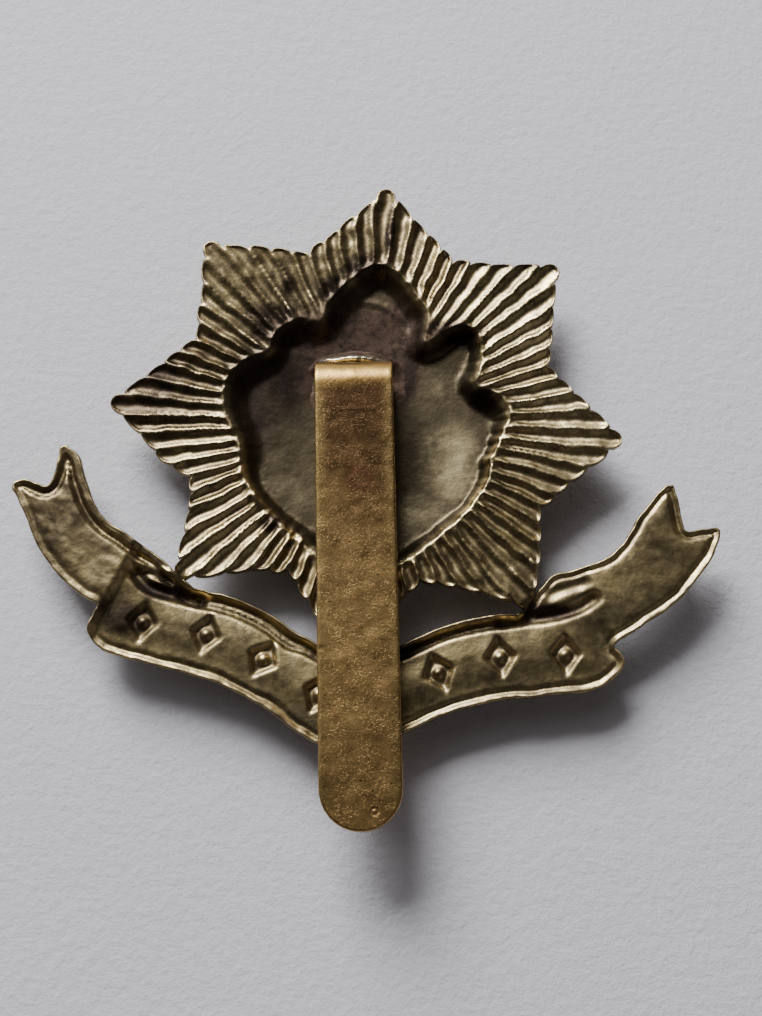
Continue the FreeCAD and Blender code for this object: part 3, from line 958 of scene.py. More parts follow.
    def relief(self, x: Array, y: Array, edges: tuple[Array, ...], grow: float) -> tuple[Array, ...]:
        """Height of the sheet's back: the star's and the scroll's, blended where they meet.

        Args:
            x: First coordinate of each place.
            y: Second coordinate of each place.
            edges: The scroll's outline and its section.
            grow: How much wider hollows are drawn, for the front.

        Returns:
            Heights, hollowness from 0 to 1, distance outward from the recess's rim, and the
            scroll's share of the height.
        """
        scroll_edge, sections = edges
        rim = -depth_in(x, y, round_centre(self.recess.reach(self.turns), self.turns))
        within_star = depth_in(x, y, self.star_edge())
        ring, hollow = self.star.height(x, y, rim, np.abs(within_star))
        star = self.recess.sink(ring, rim, x, y, self.recess.bowl if grow == 0.0 else 0.0)
        depth, place = nearest_on(x, y, scroll_edge, closed=True)
        depth = np.where(inside(x, y, scroll_edge), depth, -depth)
        section = sections[np.minimum(place.astype(int), len(sections) - 1)]
        scroll, sunk = self.scroll.height(x, y, depth, section, grow)
        beyond_star = (1.0 - smooth_step(within_star, 0.0, 0.4)) * smooth_step(depth, -0.3, -0.01)
        share = np.maximum(smooth_step(depth, -0.05, 0.35), beyond_star)
        hollow = np.where(rim > 0, hollow, 0.0)
        return star * (1 - share) + scroll * share, hollow * (1 - share) + sunk * share, rim, share

    def border_of(self, net: Net) -> tuple[Array, Array]:
        """Corners along a net's border, and the mean outward direction of the edges at each.

        Args:
            net: The net.

        Returns:
            Corner numbers, and unit vectors.
        """
        outward = right_of(net.places[net.border[:, 1]] - net.places[net.border[:, 0]])
        total = np.zeros_like(net.places)
        np.add.at(total, net.border[:, 0], outward)
        np.add.at(total, net.border[:, 1], outward)
        ring = np.unique(net.border)
        return ring, total[ring] / np.maximum(np.linalg.norm(total[ring], axis=1), 1e-9)[:, None]

    def paint_back(self, piece: bpy.types.Object, name: str, values: Array) -> None:
        """Paint the sheet's back, whose vertices come first, and leave its front and rim at 0."""
        paint(piece, name, np.pad(values, (0, len(piece.data.vertices) - len(values))))

    def build(self) -> bpy.types.Object:
        """Closed sheet: the net at the back's heights, the same net at the front's, and a round rim.

        Returns:
            The plate.
        """
        edges = self.scroll.outline()
        net = self.net(edges[0])
        x, y = net.places.T
        back, hollow, rim, share = self.relief(x, y, edges, 0.0)
        front, raised, _, _ = self.relief(x, y, edges, self.front_grow)
        front = front - self.metal
        count = len(x)
        ring, normal = self.border_of(net)
        number = np.zeros(count, int)
        number[ring] = np.arange(len(ring))
        blocks = [to_frame(x, y, back), to_frame(x, y, front)]
        rows = [ring]
        for down, swell in self.rim_rows:
            out = normal * swell * self.edge_round * 0.9
            height = back[ring] + (front[ring] - back[ring]) * down
            blocks.append(to_frame(x[ring] + out[:, 0], y[ring] + out[:, 1], height))
            rows.append(2 * count + (len(rows) - 1) * len(ring) + np.arange(len(ring)))
        rows.append(ring + count)
        start, end = number[net.border[:, 0]], number[net.border[:, 1]]
        bands = [
            np.stack([upper[start], lower[start], lower[end], upper[end]], 1)
            for upper, lower in zip(rows[:-1], rows[1:])
        ]
        faces = [net.triangles, net.triangles[:, ::-1] + count, *bands]
        piece = make_piece(
            "star_scroll_plate_struck", np.vstack(blocks), faces, "star_scroll_plate"
        )
        # The sheet's rim is painted dark all round, as dark as a deep hollow.
        edge_darkening = np.full(len(self.rim_rows) * len(ring), self.edge_darkening)
        paint(piece, "hollow", np.concatenate([hollow, 1.0 - raised, edge_darkening]))
        self.paint_back(piece, "sunken", smooth_step(-rim, 0.0, 0.6))
        self.paint_back(piece, "scroll", share)
        worn = self.star.wear(np.degrees(np.arctan2(y, x))) * smooth_step(rim, 0.0, 0.5)
        self.paint_back(piece, "worn", worn)
        stains = {
            "heat_stain": self.heat_places,
            "dark_stain_and_shade_mask": self.dark_stain_and_shade_places,
            "painted_light_patch": self.painted_light_places,
        }
        for name, places in stains.items():
            self.paint_back(piece, name, np.max([place.cover(x, y) for place in places], axis=0))
        return piece


# --- slider --------------------------------------------------------------------------------------


@dataclass
class Slider:
    """Brass strip folded back over its own foot, with a round free end."""

    width: float = 6.35
    metal: float = 1.0
    length: float = 37.75
    skew: float = 5.8
    fold_x: float = -1.44
    fold_y: float = 4.75
    foot_length: float = 8.0
    edge_round: float = 0.17
    step: float = 0.22
    columns: int = 30
    corner_steps: int = 4
    waviness: float = 0.035
    stain_from_fold: float = 10.5
    stain_radius: float = 0.75
    score_from_fold: float = 4.6

    @property
    def fold_outer(self) -> float:
        """Outer radius of the fold: half the height from the foot's underside to the leg's back."""
        return (LEG_TOP - FOOT_BOTTOM) / 2

    def place(self, across: Array, along: Array, height: Array) -> Array:
        """Turn and shift the slider's own coordinates into the badge's frame, in metres."""
        turn = np.radians(self.skew)
        x = self.fold_x + across * np.cos(turn) - along * np.sin(turn)
        y = self.fold_y + across * np.sin(turn) + along * np.cos(turn)
        return to_frame(x, y, height)

    def section(self) -> tuple[Array, Array, Array]:
        """Cross-section with round corners.

        Returns:
            Side of each point (-1 to 1 across the flats), its inset from the edge, its height share.
        """
        flat = np.linspace(-1.0, 1.0, self.columns)
        corner = np.linspace(0.0, np.pi / 2, self.corner_steps + 1)[1:]
        half, edge = self.metal / 2, self.edge_round
        drop = np.linspace(half - edge, -(half - edge), 4)[1:]
        inset = edge * (1.0 - np.sin(corner))
        level = half - edge + edge * np.cos(corner)
        side = np.concatenate([flat, np.ones(len(corner)), np.ones(len(drop))])
        depth = np.concatenate([np.full(len(flat), edge), inset, np.zeros(len(drop))])
        height = np.concatenate([np.full(len(flat), half), level, drop])
        side = np.concatenate([side, np.ones(len(corner)), -flat[1:]])
        depth = np.concatenate([depth, inset[::-1][1:], [edge], np.full(len(flat) - 1, edge)])
        height = np.concatenate([height, -level[::-1][1:], [-half], np.full(len(flat) - 1, -half)])
        side = np.concatenate([side, -np.ones(len(corner)), -np.ones(len(drop)), -np.ones(len(corner) - 1)])
        depth = np.concatenate([depth, inset, np.zeros(len(drop)), inset[::-1][1:]])
        height = np.concatenate([height, -level, -drop, level[::-1][1:]])
        return side, depth, height

    def build(self) -> bpy.types.Object:
        """Cross-section carried along foot, half-circle fold and leg, then round the free end.

        Returns:
            The slider.
        """
        side, inset, level = self.section()
        outer = self.fold_outer
        middle = outer - self.metal / 2
        centre = LEG_TOP - outer
        foot_end, leg_end = -outer - self.foot_length, -self.length + self.width / 2
        foot = np.arange(foot_end, -outer, self.step * 2)
        bend = np.linspace(0.0, np.pi, 40)
        leg = np.arange(-outer - self.step, leg_end, -self.step)
        end = np.linspace(0.0, np.pi / 2, 22)
        along = np.concatenate([foot, -outer + middle * np.sin(bend), leg, np.full(len(end), leg_end)])
        straight = np.full(len(leg) + len(end), centre + middle)
        below = np.full(len(foot), centre - middle)
        height = np.concatenate([below, centre - middle * np.cos(bend), straight])
        outward_y = np.concatenate([np.zeros(len(foot)), np.sin(bend), np.zeros(len(leg) + len(end))])
        outward_z = np.concatenate([-np.ones(len(foot)), -np.cos(bend), np.ones(len(leg) + len(end))])
        swing = np.concatenate([np.zeros(len(along) - len(end)), end])
        half = self.width / 2
        reach = half - inset[None, :]
        across = side[None, :] * reach * np.cos(swing)[:, None]
        run = along[:, None] + outward_y[:, None] * level[None, :] - reach * np.sin(swing)[:, None]
        rise = height[:, None] + outward_z[:, None] * level[None, :]
        cap_across, cap_rise = np.zeros(len(side)), np.full(len(side), height[0])
        across = np.vstack([cap_across, across[0] * 0.8, across])
        run = np.vstack([np.full(len(side), foot_end), np.full(len(side), foot_end), run])
        rise = np.vstack([cap_rise, height[0] + (rise[0] - height[0]) * 0.8, rise])
        shape = across.shape
        flat_across, flat_run = across.ravel(), run.ravel()
        wave = self.waviness * rough_noise(flat_across, flat_run, 5.5, 101).reshape(shape)
        pits = 0.016 * rough_noise(flat_across, flat_run, 0.8, 105).reshape(shape)
        up = np.vstack([np.zeros((2, 1)), outward_z[:, None]])
        rise = rise - up * (self.waviness + 0.016) + up * (wave + pits)
        nick = 1.0 - 0.012 * np.abs(rough_noise(flat_run, flat_run * 0.0, 1.4, 111)).reshape(shape)
        across = across * nick
        faces = ring_faces(*shape)
        vertices = self.place(across.ravel(), run.ravel(), rise.ravel())
        piece = make_piece("slider_strip", vertices, [faces], "slider")
        paint(piece, "from_fold", (-run / self.length).ravel())
        paint(piece, "near_edge", smooth_step(np.abs(across), half - 1.3, half).ravel())
        stain = bell(np.hypot(across - 0.35, run + self.stain_from_fold) - self.stain_radius, 0.45)
        paint(piece, "stain", np.maximum(stain, 0.6 * (stain > 1.0)).ravel())
        score = bell(run + self.score_from_fold, 0.13) * bell(across + 0.1, 1.9, 6.0)
        score = score * (rise > LEG_TOP - self.metal / 2)
        paint(piece, "score", score.ravel())
        close_seams(piece)
        return piece


@dataclass
class SliderBraze:
    """Hard solder run in round the slider's foot."""

    slider: Slider
    floor: float = 1.85
    half_width: float = 4.8
    half_length: float = 3.5
    below_fold: float = 1.2
    ridge: float = 1.75
    rings: int = 40
    columns: int = 160

    def build(self) -> bpy.types.Object:
        """Polar mound: a thin wetted skirt with a lumpy ridge along the fold, and a flat underside.

        Returns:
            The solder.
        """
        share = np.linspace(0.0, 1.0, self.rings)[:, None]
        turn = np.linspace(0.0, 2 * np.pi, self.columns, endpoint=False)[None, :]
        ragged = 1.0 + 0.1 * rough_noise(3 * np.cos(turn), 3 * np.sin(turn), 1.3, 121)
        across = self.half_width * 0.97 * share * ragged * np.cos(turn)
        along = self.half_length * share * ragged * np.sin(turn) - self.below_fold
        lumps = rough_noise(across, along, 1.5, 131)
        ridge = self.ridge * bell(along - 0.75 - 0.2 * lumps, 0.75)
        ridge = ridge * bell(across / (3.8 + 0.3 * lumps), 1.0, 6.0)
        skirt = 0.14 * (1.0 - share**2)
        height = self.floor - 0.05 + 0.07 * (1.0 - share**6) + skirt
        height = height + ridge * (1.0 + 0.22 * lumps) * (1.0 - share**4)
        height = height + 0.06 * rough_noise(across, along, 0.5, 141) * (1.0 - share**3)
        under = np.full(self.columns, self.floor - 0.12)
        across = np.vstack([across, across[-1] * 0.98, across[-1] * 0.0])
        along = np.vstack([along, along[-1], np.full(self.columns, -self.below_fold)])
        height = np.vstack([height, under, under])
        faces = ring_faces(len(height), self.columns)[:, [0, 3, 2, 1]]
        vertices = self.slider.place(across.ravel(), along.ravel(), height.ravel())
        piece = make_piece("slider_braze_run", vertices, [faces], "slider_braze")
        paint(piece, "proud", np.clip((height - self.floor) / self.ridge, 0.0, 1.0).ravel())
        close_seams(piece)
        return piece


# --- centre device -------------------------------------------------------------------------------


@dataclass
class CentreDevice:
    """Gilding-metal overlay on the star's front: a lobed cartouche with a pearled boss."""

    recess: RecessForm
    inset: float = 0.35
    back: float = 1.07
    ground: float = 0.47
    rim_width: float = 1.1
    boss_radius: float = 4.4
    boss_rise: float = 0.4
    rings: int = 120
    columns: int = 540
    pearls: int = 24
    pearl_radius: float = 0.42

    def build(self) -> bpy.types.Object:
        """Polar relief, facing down.

        Heights are a stippled ground, a raised rim that follows the outline, a ring of pearls, a
        dome with shallow rays, and a flat back.

        Returns:
            The overlay.
        """
        turn = np.linspace(0.0, 360.0, self.columns, endpoint=False)
        reach = self.recess.smooth_reach(turn) - self.inset
        outline = round_centre(reach, turn)
        share = np.linspace(0.0, 1.0, self.rings) ** 0.85
        radius = share[:, None] * reach[None, :]
        x, y = radius * np.cos(np.radians(turn)), radius * np.sin(np.radians(turn))
        edge, _ = nearest_on(x.ravel(), y.ravel(), outline, closed=True)
        edge = edge.reshape(x.shape)
        rim = smooth_step(edge, 0.0, 0.2) * (1.0 - smooth_step(edge, self.rim_width - 0.3, self.rim_width))
        cord = 0.08 * np.abs(np.sin(np.radians(turn * 60.0)))[None, :] * rim
        dome = self.boss_rise * np.sqrt(np.maximum(1.0 - (radius / self.boss_radius) ** 2, 0.0))
        rays = 0.05 * np.cos(np.radians(turn * 16))[None, :] * smooth_step(radius, 1.2, 2.4) * (dome > 0)
        pearl_turn = (turn * self.pearls / 360.0 + 0.5) % 1.0 - 0.5
        pearl_x = pearl_turn[None, :] * 2 * np.pi * (self.boss_radius + 0.65) / self.pearls
        pearl = np.hypot(radius - self.boss_radius - 0.65, pearl_x) / self.pearl_radius
        beads = 0.34 * np.sqrt(np.maximum(1.0 - pearl**2, 0.0))
        open_ground = smooth_step(edge, 1.0, 1.3) * (radius > self.boss_radius)
        stipple = 0.035 * lattice_noise(x, y, 0.35, 151) * open_ground
        relief = np.maximum(np.maximum((self.ground - 0.02) * rim - cord, beads), dome + rays * 0.6) + stipple
        z = self.ground - np.clip(relief, -0.1, self.ground - 0.005)
        wall = [(0.0, 0.62), (0.0, self.back - 0.08), (-0.08, self.back)]
        for shift, level in wall:
            x = np.vstack([x, (reach + shift) * np.cos(np.radians(turn))])
            y = np.vstack([y, (reach + shift) * np.sin(np.radians(turn))])
            z = np.vstack([z, np.full(self.columns, level)])
        x, y = np.vstack([x, np.zeros(self.columns)]), np.vstack([y, np.zeros(self.columns)])
        z = np.vstack([z, np.full(self.columns, self.back)])
        faces = ring_faces(len(z), self.columns)
        vertices = to_frame(x.ravel(), y.ravel(), z.ravel())
        piece = make_piece("centre_device_struck", vertices, [faces], "centre_device")
        paint(piece, "hollow", smooth_step(z, 0.1, self.ground).ravel())
        close_seams(piece)
        return piece


# --- finishes ------------------------------------------------------------------------------------

Socket = bpy.types.NodeSocket
Colour = tuple[float, float, float, float]
PER_MM = 1000.0


class Sum(Enum):
    """What a maths node does with two values."""

    PLUS = "ADD"
    MINUS = "SUBTRACT"
    TIMES = "MULTIPLY"
    GREATER = "MAXIMUM"


class Nodes:
    """Adds nodes to one tree and joins them."""

    def __init__(self, tree: bpy.types.NodeTree) -> None:
        """Start with a tree, and read its Object coordinates once."""
        self.tree = tree
        self.where: Socket = self.add("ShaderNodeTexCoord").outputs["Object"]

    def add(
        self, kind: str, inputs: dict[str | int, object] | None = None, **settings: object
    ) -> bpy.types.Node:
        """New node.

        Args:
            kind: Node type.
            inputs: Value or linked output for each named or numbered input.
            **settings: The node's own settings.

        Returns:
            The node.
        """
        node = self.tree.nodes.new(kind)
        for name, value in settings.items():
            setattr(node, name, value)
        for name, value in (inputs or {}).items():
            if isinstance(value, bpy.types.NodeSocket):
                self.tree.links.new(value, node.inputs[name])
            else:
                node.inputs[name].default_value = value
        return node

    def noise(
        self, spacing: float, detail: float = 3.0, rough: float = 0.55, bend: float = 0.0,
        where: Socket | None = None,
    ) -> Socket:
        """Noise from 0 to 1, whose features are about spacing millimetres apart."""
        inputs = {"Vector": where or self.where, "Scale": PER_MM / spacing}
        inputs |= {"Detail": detail, "Roughness": rough, "Distortion": bend}
        return self.add("ShaderNodeTexNoise", inputs).outputs["Fac"]

    def stretched(self, turn: float, along: float, across: float) -> Socket:
        """Coordinates turned and stretched, for patterns that run one way.

        Args:
            turn: Degrees about Z.
            along: How far the pattern is stretched along its run.
            across: How far it is stretched across.

        Returns:
            The coordinates.
        """
        scale = (along, across, 1.0)
        inputs = {"Vector": self.where, "Rotation": (0.0, 0.0, np.radians(turn)), "Scale": scale}
        return self.add("ShaderNodeMapping", inputs, vector_type="TEXTURE").outputs["Vector"]

    def ramp(self, value: Socket, low: float, high: float, start: float = 0.0, end: float = 1.0) -> Socket:
        """Smooth step from start, where value is low, to end, where it is high."""
        inputs = {"Value": value, "From Min": low, "From Max": high, "To Min": start, "To Max": end}
        return self.add("ShaderNodeMapRange", inputs, interpolation_type="SMOOTHSTEP").outputs["Result"]

    def maths(self, way: Sum, first: Socket | float, second: Socket | float) -> Socket:
        """Result of one operation on two values."""
        return self.add("ShaderNodeMath", {0: first, 1: second}, operation=way.value).outputs["Value"]

    def plus(self, first: Socket | float, second: Socket | float) -> Socket:
        """Sum of two values."""
        return self.maths(Sum.PLUS, first, second)

    def minus(self, first: Socket | float, second: Socket | float) -> Socket:
        """First value less the second."""
        return self.maths(Sum.MINUS, first, second)

    def times(self, first: Socket | float, second: Socket | float) -> Socket:
        """Product of two values."""
        return self.maths(Sum.TIMES, first, second)

    def greater(self, first: Socket | float, second: Socket | float) -> Socket:
        """The greater of two values."""
        return self.maths(Sum.GREATER, first, second)

    def swing(self, value: Socket, amount: float) -> Socket:
        """Value from 0 to 1, moved to lie about 0, times an amount."""
        return self.times(self.minus(value, 0.5), amount)

    def mix(self, share: Socket | float, first: Socket | Colour, second: Socket | Colour) -> Socket:
        """First colour where share is 0, second where it is 1."""
        return self.add("ShaderNodeMix", {0: share, 6: first, 7: second}, data_type="RGBA").outputs[2]

    def attribute(self, name: str) -> Socket:
        """Number painted on the piece's vertices."""
        return self.add("ShaderNodeAttribute", attribute_name=name).outputs["Fac"]

    def group(self, tree: bpy.types.NodeTree, **values: Socket | float) -> bpy.types.Node:
        """Node that runs a group.

        Args:
            tree: The group.
            **values: Value or linked output for each input, named in small letters.

        Returns:
            The node.
        """
        node = self.add("ShaderNodeGroup", node_tree=tree)
        for name, value in values.items():
            socket = node.inputs[name.replace("_", " ").title()]
            if isinstance(value, bpy.types.NodeSocket):
                self.tree.links.new(value, socket)
            else:
                socket.default_value = value
        return node

    def surface(
        self, colour: Socket, rough: Socket, metal: Socket | float, height: Socket, depth: float
    ) -> None:
        """Finish the material with its shader.

        Args:
            colour: Base colour.
            rough: Roughness.
            metal: How metallic it is, from 0 to 1.
            height: Height of the bumps, from 0 to 1.
            depth: Height that 1 stands for, in millimetres.
        """
        bump = self.add("ShaderNodeBump", {"Height": height, "Distance": depth * MM, "Strength": 1.0})
        inputs = {"Base Color": colour, "Roughness": rough, "Metallic": metal}
        inputs["Normal"] = bump.outputs["Normal"]
        shader = self.add("ShaderNodeBsdfPrincipled", inputs)
        output = self.add("ShaderNodeOutputMaterial")
        self.tree.links.new(shader.outputs["BSDF"], output.inputs["Surface"])


def new_group(
    name: str, inputs: dict[str, float], outputs: tuple[str, ...]
) -> tuple[Nodes, dict[str, Socket], bpy.types.Node]:
    """Empty node group with named float sockets.

    Args:
        name: Name of the group.
        inputs: Default value of each input.
        outputs: Names of the outputs.

    Returns:
        The group's nodes, its inputs as sockets, and the node that takes its outputs.
    """
    tree = bpy.data.node_groups.new(name, "ShaderNodeTree")
    for label, value in inputs.items():
        tree.interface.new_socket(label, in_out="INPUT", socket_type="NodeSocketFloat").default_value = value
    for label in outputs:
        tree.interface.new_socket(label, in_out="OUTPUT", socket_type="NodeSocketFloat")
    nodes = Nodes(tree)
    entry, leave = nodes.add("NodeGroupInput"), nodes.add("NodeGroupOutput")
    return nodes, {label: entry.outputs[label] for label in inputs}, leave


def patina_group() -> bpy.types.NodeTree:
    """Tarnish that gathers in hollows, in patches, with fine specks.

    Returns:
        Group with inputs Hollow and Patches and outputs Tarnish and Specks, each from 0 to 1.
    """
    nodes, entry, leave = new_group("patina", {"Hollow": 0.0, "Patches": 0.5}, ("Tarnish", "Specks"))
    broad = nodes.ramp(nodes.noise(3.4, 5.0, 0.65), 0.3, 0.8)
    fine = nodes.noise(0.5, 4.0, 0.65)
    uneven = nodes.times(broad, entry["Patches"])
    ragged = nodes.plus(entry["Hollow"], nodes.swing(fine, 0.5))
    deep = nodes.ramp(ragged, 0.25, 0.95)
    total = nodes.greater(deep, uneven)
    nodes.tree.links.new(total, leave.inputs["Tarnish"])
    nodes.tree.links.new(nodes.ramp(nodes.noise(0.22, 2.0, 0.5), 0.6, 0.74), leave.inputs["Specks"])
    return nodes.tree


def grain_group() -> bpy.types.NodeTree:
    """Skin of worked metal: fine grain, small dents, and faint scratches both ways.

    Returns:
        Group with inputs Grain, Dents and Scratches and outputs Height and Rough.
    """
    sizes = {"Grain": 0.3, "Dents": 0.5, "Scratches": 0.2}
    nodes, entry, leave = new_group("grain", sizes, ("Height", "Rough"))
    fine = nodes.times(nodes.noise(0.14, 3.0, 0.6), entry["Grain"])
    dents = nodes.times(nodes.noise(0.55, 2.0, 0.5), entry["Dents"])
    first = nodes.ramp(nodes.noise(0.2, 2.0, 0.5, 0.0, nodes.stretched(62.0, 24.0, 1.0)), 0.6, 0.75)
    second = nodes.ramp(nodes.noise(0.24, 2.0, 0.5, 0.0, nodes.stretched(-28.0, 28.0, 1.0)), 0.62, 0.76)
    lines = nodes.times(nodes.greater(first, second), entry["Scratches"])
    height = nodes.minus(nodes.plus(fine, dents), lines)
    nodes.tree.links.new(height, leave.inputs["Height"])
    nodes.tree.links.new(nodes.noise(1.6, 3.0, 0.6), leave.inputs["Rough"])
    return nodes.tree


@dataclass(frozen=True)
class Effects:
    """Node groups that more than one finish uses."""

    patina: bpy.types.NodeTree
    grain: bpy.types.NodeTree


def new_material(name: str) -> tuple[bpy.types.Material, Nodes]:
    """Material with an empty tree.

    Args:
        name: Name of the material.

    Returns:
        The material, and its nodes.
    """
    material = bpy.data.materials.new(name)
    material.use_nodes = True
    material.node_tree.nodes.clear()
    return material, Nodes(material.node_tree)


@dataclass(frozen=True)
class NickelSilver:
    """Aged nickel silver: pale gold on crests, brown-black in hollows, heat stains by the solder, painted
    highlights in lit patches and painted shade in dark ones.
    """

    bright: Colour = (0.54, 0.42, 0.2, 1.0)
    dull: Colour = (0.26, 0.208, 0.112, 1.0)
    brown: Colour = (0.1, 0.073, 0.046, 1.0)
    black: Colour = (0.026, 0.017, 0.01, 1.0)
    heat_brown: Colour = (0.064, 0.041, 0.03, 1.0)
    # Pale gold of the painted highlights on lit patches.
    painted_highlight: Colour = (0.7, 0.57, 0.3, 1.0)
    # Near-black of the dark patches, which are mostly painted shade with some dark stain.
    dark_stain_and_shade: Colour = (0.02, 0.0125, 0.0105, 1.0)
    satin: Colour = (0.052, 0.042, 0.027, 1.0)
    # Pale gold of the recess floor where it is painted lit.
    pale: Colour = (0.3, 0.25, 0.145, 1.0)

    def make(self, effects: Effects) -> bpy.types.Material:
        """Build the material from the plate's painted values and the shared effects.

        Args:
            effects: Shared node groups.

        Returns:
            The material.
        """
        material, nodes = new_material("nickel_silver_aged")
        # Two painted masks come in here: patches of painted light, and patches of painted shade with some
        # dark stain.
        names = ("hollow", "sunken", "heat_stain", "dark_stain_and_shade_mask", "painted_light_patch", "worn", "scroll")
        hollow, sunken, heat, dark_stain_and_shade, bright, worn, scroll = (nodes.attribute(name) for name in names)
        patina = nodes.group(effects.patina, hollow=nodes.times(hollow, 0.7), patches=0.4)
        grain = nodes.group(effects.grain, grain=0.1, dents=0.45, scratches=0.02)
        mottled = nodes.noise(2.1, 5.0, 0.6, 0.6)
        colour = nodes.mix(nodes.ramp(nodes.noise(2.2, 6.0, 0.7), 0.3, 0.7), self.bright, self.dull)
        # Painted light: lit patches turn the crests a gleaming pale gold and the recess floor pale, as where
        # they reflect the window.
        lit = nodes.ramp(nodes.times(bright, nodes.ramp(mottled, 0.25, 0.7, 0.6, 1.5)), 0.15, 0.9)
        floor = nodes.mix(lit, self.satin, self.pale)
        colour = nodes.mix(lit, colour, self.painted_highlight)
        colour = nodes.mix(nodes.times(worn, 0.5), colour, self.brown)
        colour = nodes.mix(nodes.times(sunken, 0.95), colour, floor)
        blotches = nodes.ramp(nodes.noise(0.9, 5.0, 0.7), 0.47, 0.66, 0.0, 0.5)
        colour = nodes.mix(nodes.times(blotches, nodes.ramp(sunken, 0.0, 1.0, 1.0, 0.3)), colour, self.brown)
        clean = nodes.ramp(sunken, 0.0, 1.0, 1.0, 0.35)
        tarnish = nodes.times(patina.outputs["Tarnish"], clean)
        colour = nodes.mix(tarnish, colour, self.brown)
        black = nodes.ramp(tarnish, 0.6, 1.0)
        colour = nodes.mix(black, colour, self.black)
        hot = nodes.times(heat, nodes.ramp(mottled, 0.2, 0.7, 0.8, 1.5))
        hot = nodes.ramp(hot, 0.15, 0.6)
        flecks = nodes.ramp(nodes.noise(0.8, 5.0, 0.7), 0.42, 0.62)
        scale_tone = nodes.mix(flecks, self.heat_brown, self.dark_stain_and_shade)
        colour = nodes.mix(nodes.times(hot, 0.9), colour, scale_tone)
        # Painted shade with some dark stain: the dark patches turn near-black.
        dark = nodes.times(dark_stain_and_shade, nodes.ramp(mottled, 0.2, 0.75, 1.4, 0.75))
        dark = nodes.ramp(dark, 0.08, 0.8, 0.0, 0.94)
        colour = nodes.mix(dark, colour, self.dark_stain_and_shade)
        specks = nodes.plus(nodes.times(worn, 0.6), 0.25)
        colour = nodes.mix(nodes.times(patina.outputs["Specks"], specks), colour, self.brown)
        rough = nodes.ramp(tarnish, 0.0, 1.0, 0.27, 0.46)
        matte = nodes.greater(nodes.times(sunken, 0.15), nodes.times(hot, 0.25))
        matte = nodes.greater(matte, nodes.times(scroll, 0.06))
        rough = nodes.plus(rough, matte)
        uneven = nodes.swing(grain.outputs["Rough"], 0.2)
        rough = nodes.plus(rough, uneven)
        # Heat stain and the painted shade both make the metal a little less metallic.
        stained = nodes.greater(hot, dark)
        metal = nodes.minus(nodes.ramp(black, 0.0, 1.0, 1.0, 0.75), nodes.times(stained, 0.1))
        nodes.surface(colour, rough, metal, grain.outputs["Height"], 0.05)
        return material


@dataclass(frozen=True)
class SliderBrass:
    """Golden-brown sheet brass, browner towards the fold, with fine dark specks, ring pits and a painted
    highlight along the top of the fold.
    """

    gold: Colour = (0.43, 0.275, 0.108, 1.0)
    brown: Colour = (0.07, 0.039, 0.019, 1.0)
    edge: Colour = (0.34, 0.235, 0.09, 1.0)
    speck: Colour = (0.055, 0.031, 0.015, 1.0)
    red: Colour = (0.1, 0.042, 0.024, 1.0)
    painted_fold_highlight: Colour = (0.38, 0.24, 0.07, 1.0)

    def make(self, effects: Effects) -> bpy.types.Material:
        """Build the material from the strip's painted values and the shared effects.

        Args:
            effects: Shared node groups.

        Returns:
            The material.
        """
        material, nodes = new_material("slider_brass_aged")
        names = ("from_fold", "near_edge", "stain", "score")
        along, near_edge, stain, score = (nodes.attribute(name) for name in names)
        patina = nodes.group(effects.patina, hollow=0.0, patches=0.5)
        grain = nodes.group(effects.grain, grain=0.16, dents=0.4, scratches=0.03)
        cloud = nodes.swing(nodes.noise(3.6, 5.0, 0.65), 0.45)
        shade = nodes.plus(along, cloud)
        colour = nodes.mix(nodes.ramp(shade, 0.08, 0.72), self.brown, self.gold)
        colour = nodes.mix(nodes.times(patina.outputs["Tarnish"], 0.4), colour, self.brown)
        colour = nodes.mix(nodes.times(near_edge, 0.6), colour, self.edge)
        fold_shade = nodes.plus(along, nodes.times(cloud, 0.08))
        # Painted highlight: a pale band along the top of the fold, where it faces the window.
        colour = nodes.mix(nodes.ramp(fold_shade, 0.03, 0.085, 0.9, 0.0), colour, self.painted_fold_highlight)
        colour = nodes.mix(nodes.times(stain, 0.7), colour, self.red)
        fine = nodes.ramp(nodes.noise(0.16, 4.0, 0.65), 0.5, 0.68)
        dense = nodes.ramp(nodes.noise(1.3, 3.0, 0.6), 0.3, 0.7, 0.25, 0.85)
        mottle = nodes.times(fine, dense)
        mottle = nodes.times(mottle, nodes.ramp(along, 0.02, 0.08, 0.3, 1.0))
        colour = nodes.mix(nodes.times(mottle, 0.8), colour, self.speck)
        colour = nodes.mix(nodes.times(patina.outputs["Specks"], 0.8), colour, self.speck)
        rough = nodes.ramp(mottle, 0.0, 1.0, 0.32, 0.48)
        uneven = nodes.swing(grain.outputs["Rough"], 0.2)
        rough = nodes.plus(rough, uneven)
        cells = nodes.add("ShaderNodeTexVoronoi", {"Vector": nodes.where, "Scale": PER_MM / 2.4})
        craters = cells.outputs["Distance"]
        ring = nodes.times(nodes.ramp(craters, 0.02, 0.09), nodes.ramp(craters, 0.18, 0.1))
        pitted = nodes.times(ring, nodes.ramp(along, 0.45, 0.75))
        sunk = nodes.plus(nodes.times(patina.outputs["Specks"], 0.12), pitted)
        sunk = nodes.plus(sunk, nodes.times(mottle, 0.3))
        sunk = nodes.plus(sunk, nodes.times(score, 0.3))
        height = nodes.minus(grain.outputs["Height"], sunk)
        nodes.surface(colour, rough, nodes.ramp(mottle, 0.0, 1.0, 1.0, 0.85), height, 0.03)
        return material


